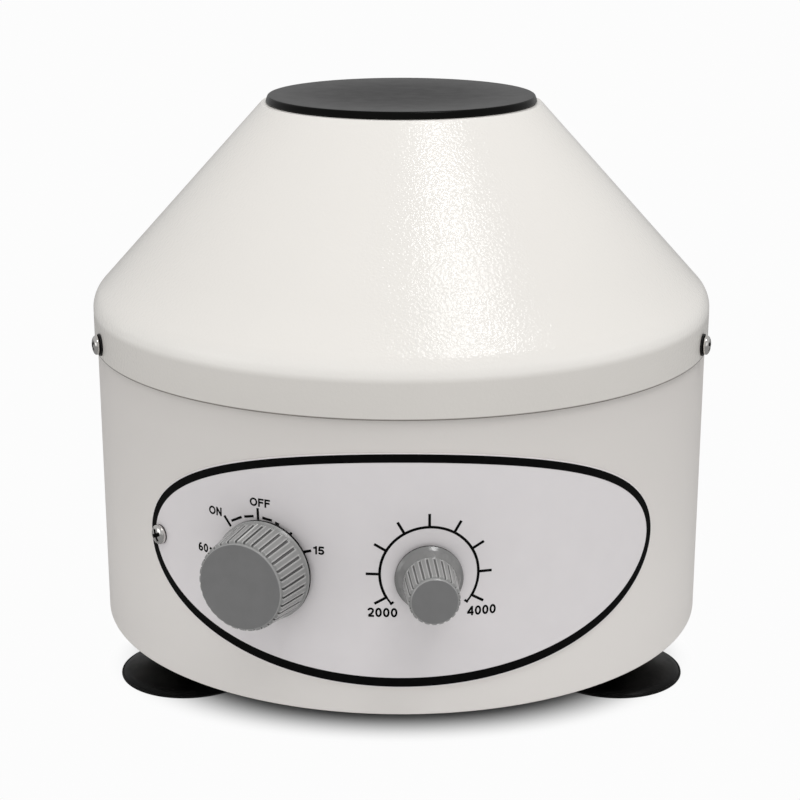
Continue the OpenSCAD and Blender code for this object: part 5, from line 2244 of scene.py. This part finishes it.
@dataclass
class Inside:
    """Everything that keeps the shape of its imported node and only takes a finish."""

    def dress(self, nodes: dict[str, bpy.types.Object]) -> None:
        """Gives each shown node the finish of its material slot.

        Args:
            nodes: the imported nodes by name.
        """
        for name, node in nodes.items():
            for spot in node.material_slots:
                slot = spot.material.name.split(".")[0]
                if slot in SLOT_FINISHES:
                    spot.material = SLOT_FINISHES[slot].material()
                else:
                    log.warning("node %s keeps slot %s", name, slot)


@dataclass(frozen=True)
class Lamp:
    """A soft lamp.

    Attributes:
        name: the lamp's name.
        spot: its place in metres.
        aim: the point that it faces.
        size: its width and its depth in metres.
        power: its power in watts.
        shows: whether it shows in glossy surfaces.
    """

    name: str
    spot: tuple[float, float, float]
    aim: tuple[float, float, float]
    size: Span
    power: float
    shows: bool = True

    def hang(self) -> None:
        """Hangs the lamp."""
        data = bpy.data.lights.new(self.name, "AREA")
        data.shape = "RECTANGLE"
        data.size, data.size_y = self.size
        data.energy = self.power
        made = bpy.data.objects.new(self.name, data)
        made.location = self.spot
        made.rotation_euler = (Vector(self.aim) - Vector(self.spot)).to_track_quat("-Z", "Y").to_euler()
        made.visible_glossy = self.shows
        bpy.context.scene.collection.objects.link(made)


@dataclass
class Studio:
    """The camera, the lamps, the floor and the surroundings.

    Attributes:
        camera_back: the camera's distance in front of the drum's axis.
        camera_height: its height.
        camera_pitch: the angle in degrees by which it looks down.
        focal_pixels: its focal length in pixels of the photograph.
        axis_pixel: the column of the photograph that the drum's axis is in.
        sensor: the width of its sensor.
        clip: the nearest and the farthest distance that it sees, in metres.
        ambient: the strength of the even light.
        mirror: the strength of the room that mirrors show.
        white: the strength of the white that the camera sees around the object.
        side: half the side of the floor, in metres.
        floor_tones: the darker and the paler spots of the floor.
        floor_spots: the size of those spots.
        floor_rough: the roughness of the floor.
        floor_mirrored: the level of the floor in mirrors.
        shadow: where the shadow on the floor starts to turn white, and where it is white.
        painted_shadow_level: the floor's share of its brightness under the object, a painted shadow.
        lobe: the distance of the shadow's two middles from the drum's axis, to the front and the rear.
        spread: how much less the shadow's distance counts to the sides.
        lamps: the lamps.
    """

    camera_back: float = 811.99
    camera_height: float = 348.34
    camera_pitch: float = 16.51
    focal_pixels: float = 1877.75
    axis_pixel: float = 401.39
    sensor: float = 36.0
    clip: Span = (0.05, 50.0)
    ambient: float = 0.40
    mirror: float = 0.5
    white: float = 0.975
    side: float = 6.0
    floor_tones: tuple[Colour, Colour] = ((247, 247, 247), (249, 249, 249))
    floor_spots: float = 60.0
    floor_rough: Span = (0.8, 0.9)
    floor_mirrored: float = 0.3
    shadow: Span = (58.0, 85.0)
    painted_shadow_level: float = 0.28
    lobe: float = 40.0
    spread: float = 0.65
    lamps: tuple[Lamp, ...] = (
        Lamp("top_lamp", (-0.04, -0.40, 1.7), (0.0, 0.0, 0.15), (1.8, 1.8), 13.6, shows=False),
        Lamp("streak_lamp", (0.5, -0.52, 1.7), (0.0, -0.1, 0.2), (0.52, 0.5), 6.4),
        Lamp("left_lamp", (-1.4, -0.6, 0.3), (0.0, 0.0, 0.12), (0.7, 0.7), 1.6),
        Lamp("right_lamp", (1.4, -0.6, 0.3), (0.0, 0.0, 0.12), (0.7, 0.7), 0.8),
    )

    def camera(self) -> None:
        """Sets the camera at the photograph's place and angle."""
        data = bpy.data.cameras.new("camera")
        data.sensor_width = self.sensor
        data.lens = self.focal_pixels / PHOTO_SIDE * data.sensor_width
        data.shift_x = (PHOTO_SIDE / 2 - self.axis_pixel) / PHOTO_SIDE
        data.clip_start, data.clip_end = self.clip
        made = bpy.data.objects.new("camera", data)
        made.location = Vector((0, -self.camera_back, self.camera_height)) * MM
        made.rotation_euler = (math.radians(90 - self.camera_pitch), 0, 0)
        bpy.context.scene.collection.objects.link(made)
        bpy.context.scene.camera = made

    def world(self) -> None:
        """Lights the scene evenly, shows white to the camera and a greyer room to mirrors."""
        world = bpy.data.worlds.new("studio")
        bpy.context.scene.world = world
        world.use_nodes = True
        room = Nodes(world.node_tree)
        back = room.tree.nodes["Background"]
        path = room.add("ShaderNodeLightPath")
        seen = {"Value": path.outputs["Is Camera Ray"], "To Min": self.ambient, "To Max": self.white}
        level = room.add("ShaderNodeMapRange", seen)
        more = {0: path.outputs["Is Glossy Ray"], 1: self.mirror - self.ambient, 2: level.outputs[0]}
        total = room.add("ShaderNodeMath", more, operation="MULTIPLY_ADD")
        room.feed(back.inputs["Strength"], total.outputs[0])
        back.inputs["Color"].default_value = grey(1.0)

    def floor_shader(self) -> bpy.types.Material:
        """Builds the floor's material.

        Returns:
            The material, which has a painted shadow under the object and shows white to the camera around it.
        """
        shader = Shader("pale_floor")
        shader.surface.inputs["Specular IOR Level"].default_value = 0.0
        tone = shader.noise(self.floor_spots)
        shader.feed(shader.surface.inputs["Roughness"], shader.remap(tone, NOISE_SPAN, self.floor_rough))
        folded = shader.vector("ABSOLUTE", shader.place).outputs[0]
        lobe = (0.0, -self.lobe * MM, 0.0)
        drawn = shader.vector("MULTIPLY_ADD", folded, (self.spread, 1.0, 0.0), lobe).outputs[0]
        reach = shader.vector("LENGTH", drawn).outputs["Value"]
        span = (self.shadow[0] * MM, self.shadow[1] * MM)
        near = shader.remap(reach, span, FULL_SPAN)
        # Painted shadow: the floor's colour darker under the object
        painted_shadow = shader.ramp(near, [(0.0, grey(self.painted_shadow_level)), (1.0, grey(1.0))])
        pale = shader.between(tone, NOISE_SPAN, *self.floor_tones)
        shader.feed(shader.surface.inputs["Base Color"], shader.times(pale, painted_shadow))
        far = shader.remap(reach, span, FULL_SPAN, "SMOOTHSTEP")
        path = shader.add("ShaderNodeLightPath")
        both = {0: far, 1: path.outputs["Is Camera Ray"]}
        share = shader.add("ShaderNodeMath", both, operation="MULTIPLY").outputs[0]
        glow, dull = (
            shader.add("ShaderNodeEmission", {"Color": grey(level), "Strength": 1.0}).outputs[0]
            for level in (self.white, self.floor_mirrored)
        )
        lit = shader.surface.outputs[0]
        seen = shader.add("ShaderNodeMixShader", {0: share, 1: lit, 2: glow}).outputs[0]
        mirrored = path.outputs["Is Glossy Ray"]
        whole = shader.add("ShaderNodeMixShader", {0: mirrored, 1: seen, 2: dull}).outputs[0]
        shader.feed(shader.tree.nodes["Material Output"].inputs["Surface"], whole)
        return shader.material

    def floor(self) -> None:
        """Lays a pale floor that keeps the shadow near the object, darkens it there with a painted shadow,
        and turns white around it.
        """
        mesh = bpy.data.meshes.new("floor")
        side = self.side
        corners = [(-side, -side, 0), (side, -side, 0), (side, side, 0), (-side, side, 0)]
        mesh.from_pydata(corners, [], [(0, 1, 2, 3)])
        mesh.materials.append(self.floor_shader())
        made = bpy.data.objects.new("floor", mesh)
        bpy.context.scene.collection.objects.link(made)

    def build(self) -> None:
        """Sets up the whole studio."""
        bpy.context.scene.view_settings.view_transform = "Standard"
        self.camera()
        self.world()
        self.floor()
        for lamp in self.lamps:
            lamp.hang()


def main() -> None:
    """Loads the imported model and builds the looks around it."""
    logging.basicConfig(level=logging.INFO, format="%(message)s")
    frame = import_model()
    Studio().build()
    Inside().dress(frame["nodes"])
    for assembly in (Cover(), Drum(), Lid(), Feet(), Screws(), FrontPanel(), TimerPointer()):
        assembly.build()
    grip = grip_sketch()
    for knob in (TIMER_KNOB, SPEED_KNOB):
        knob.build(grip)


if __name__ == "__main__":
    main()
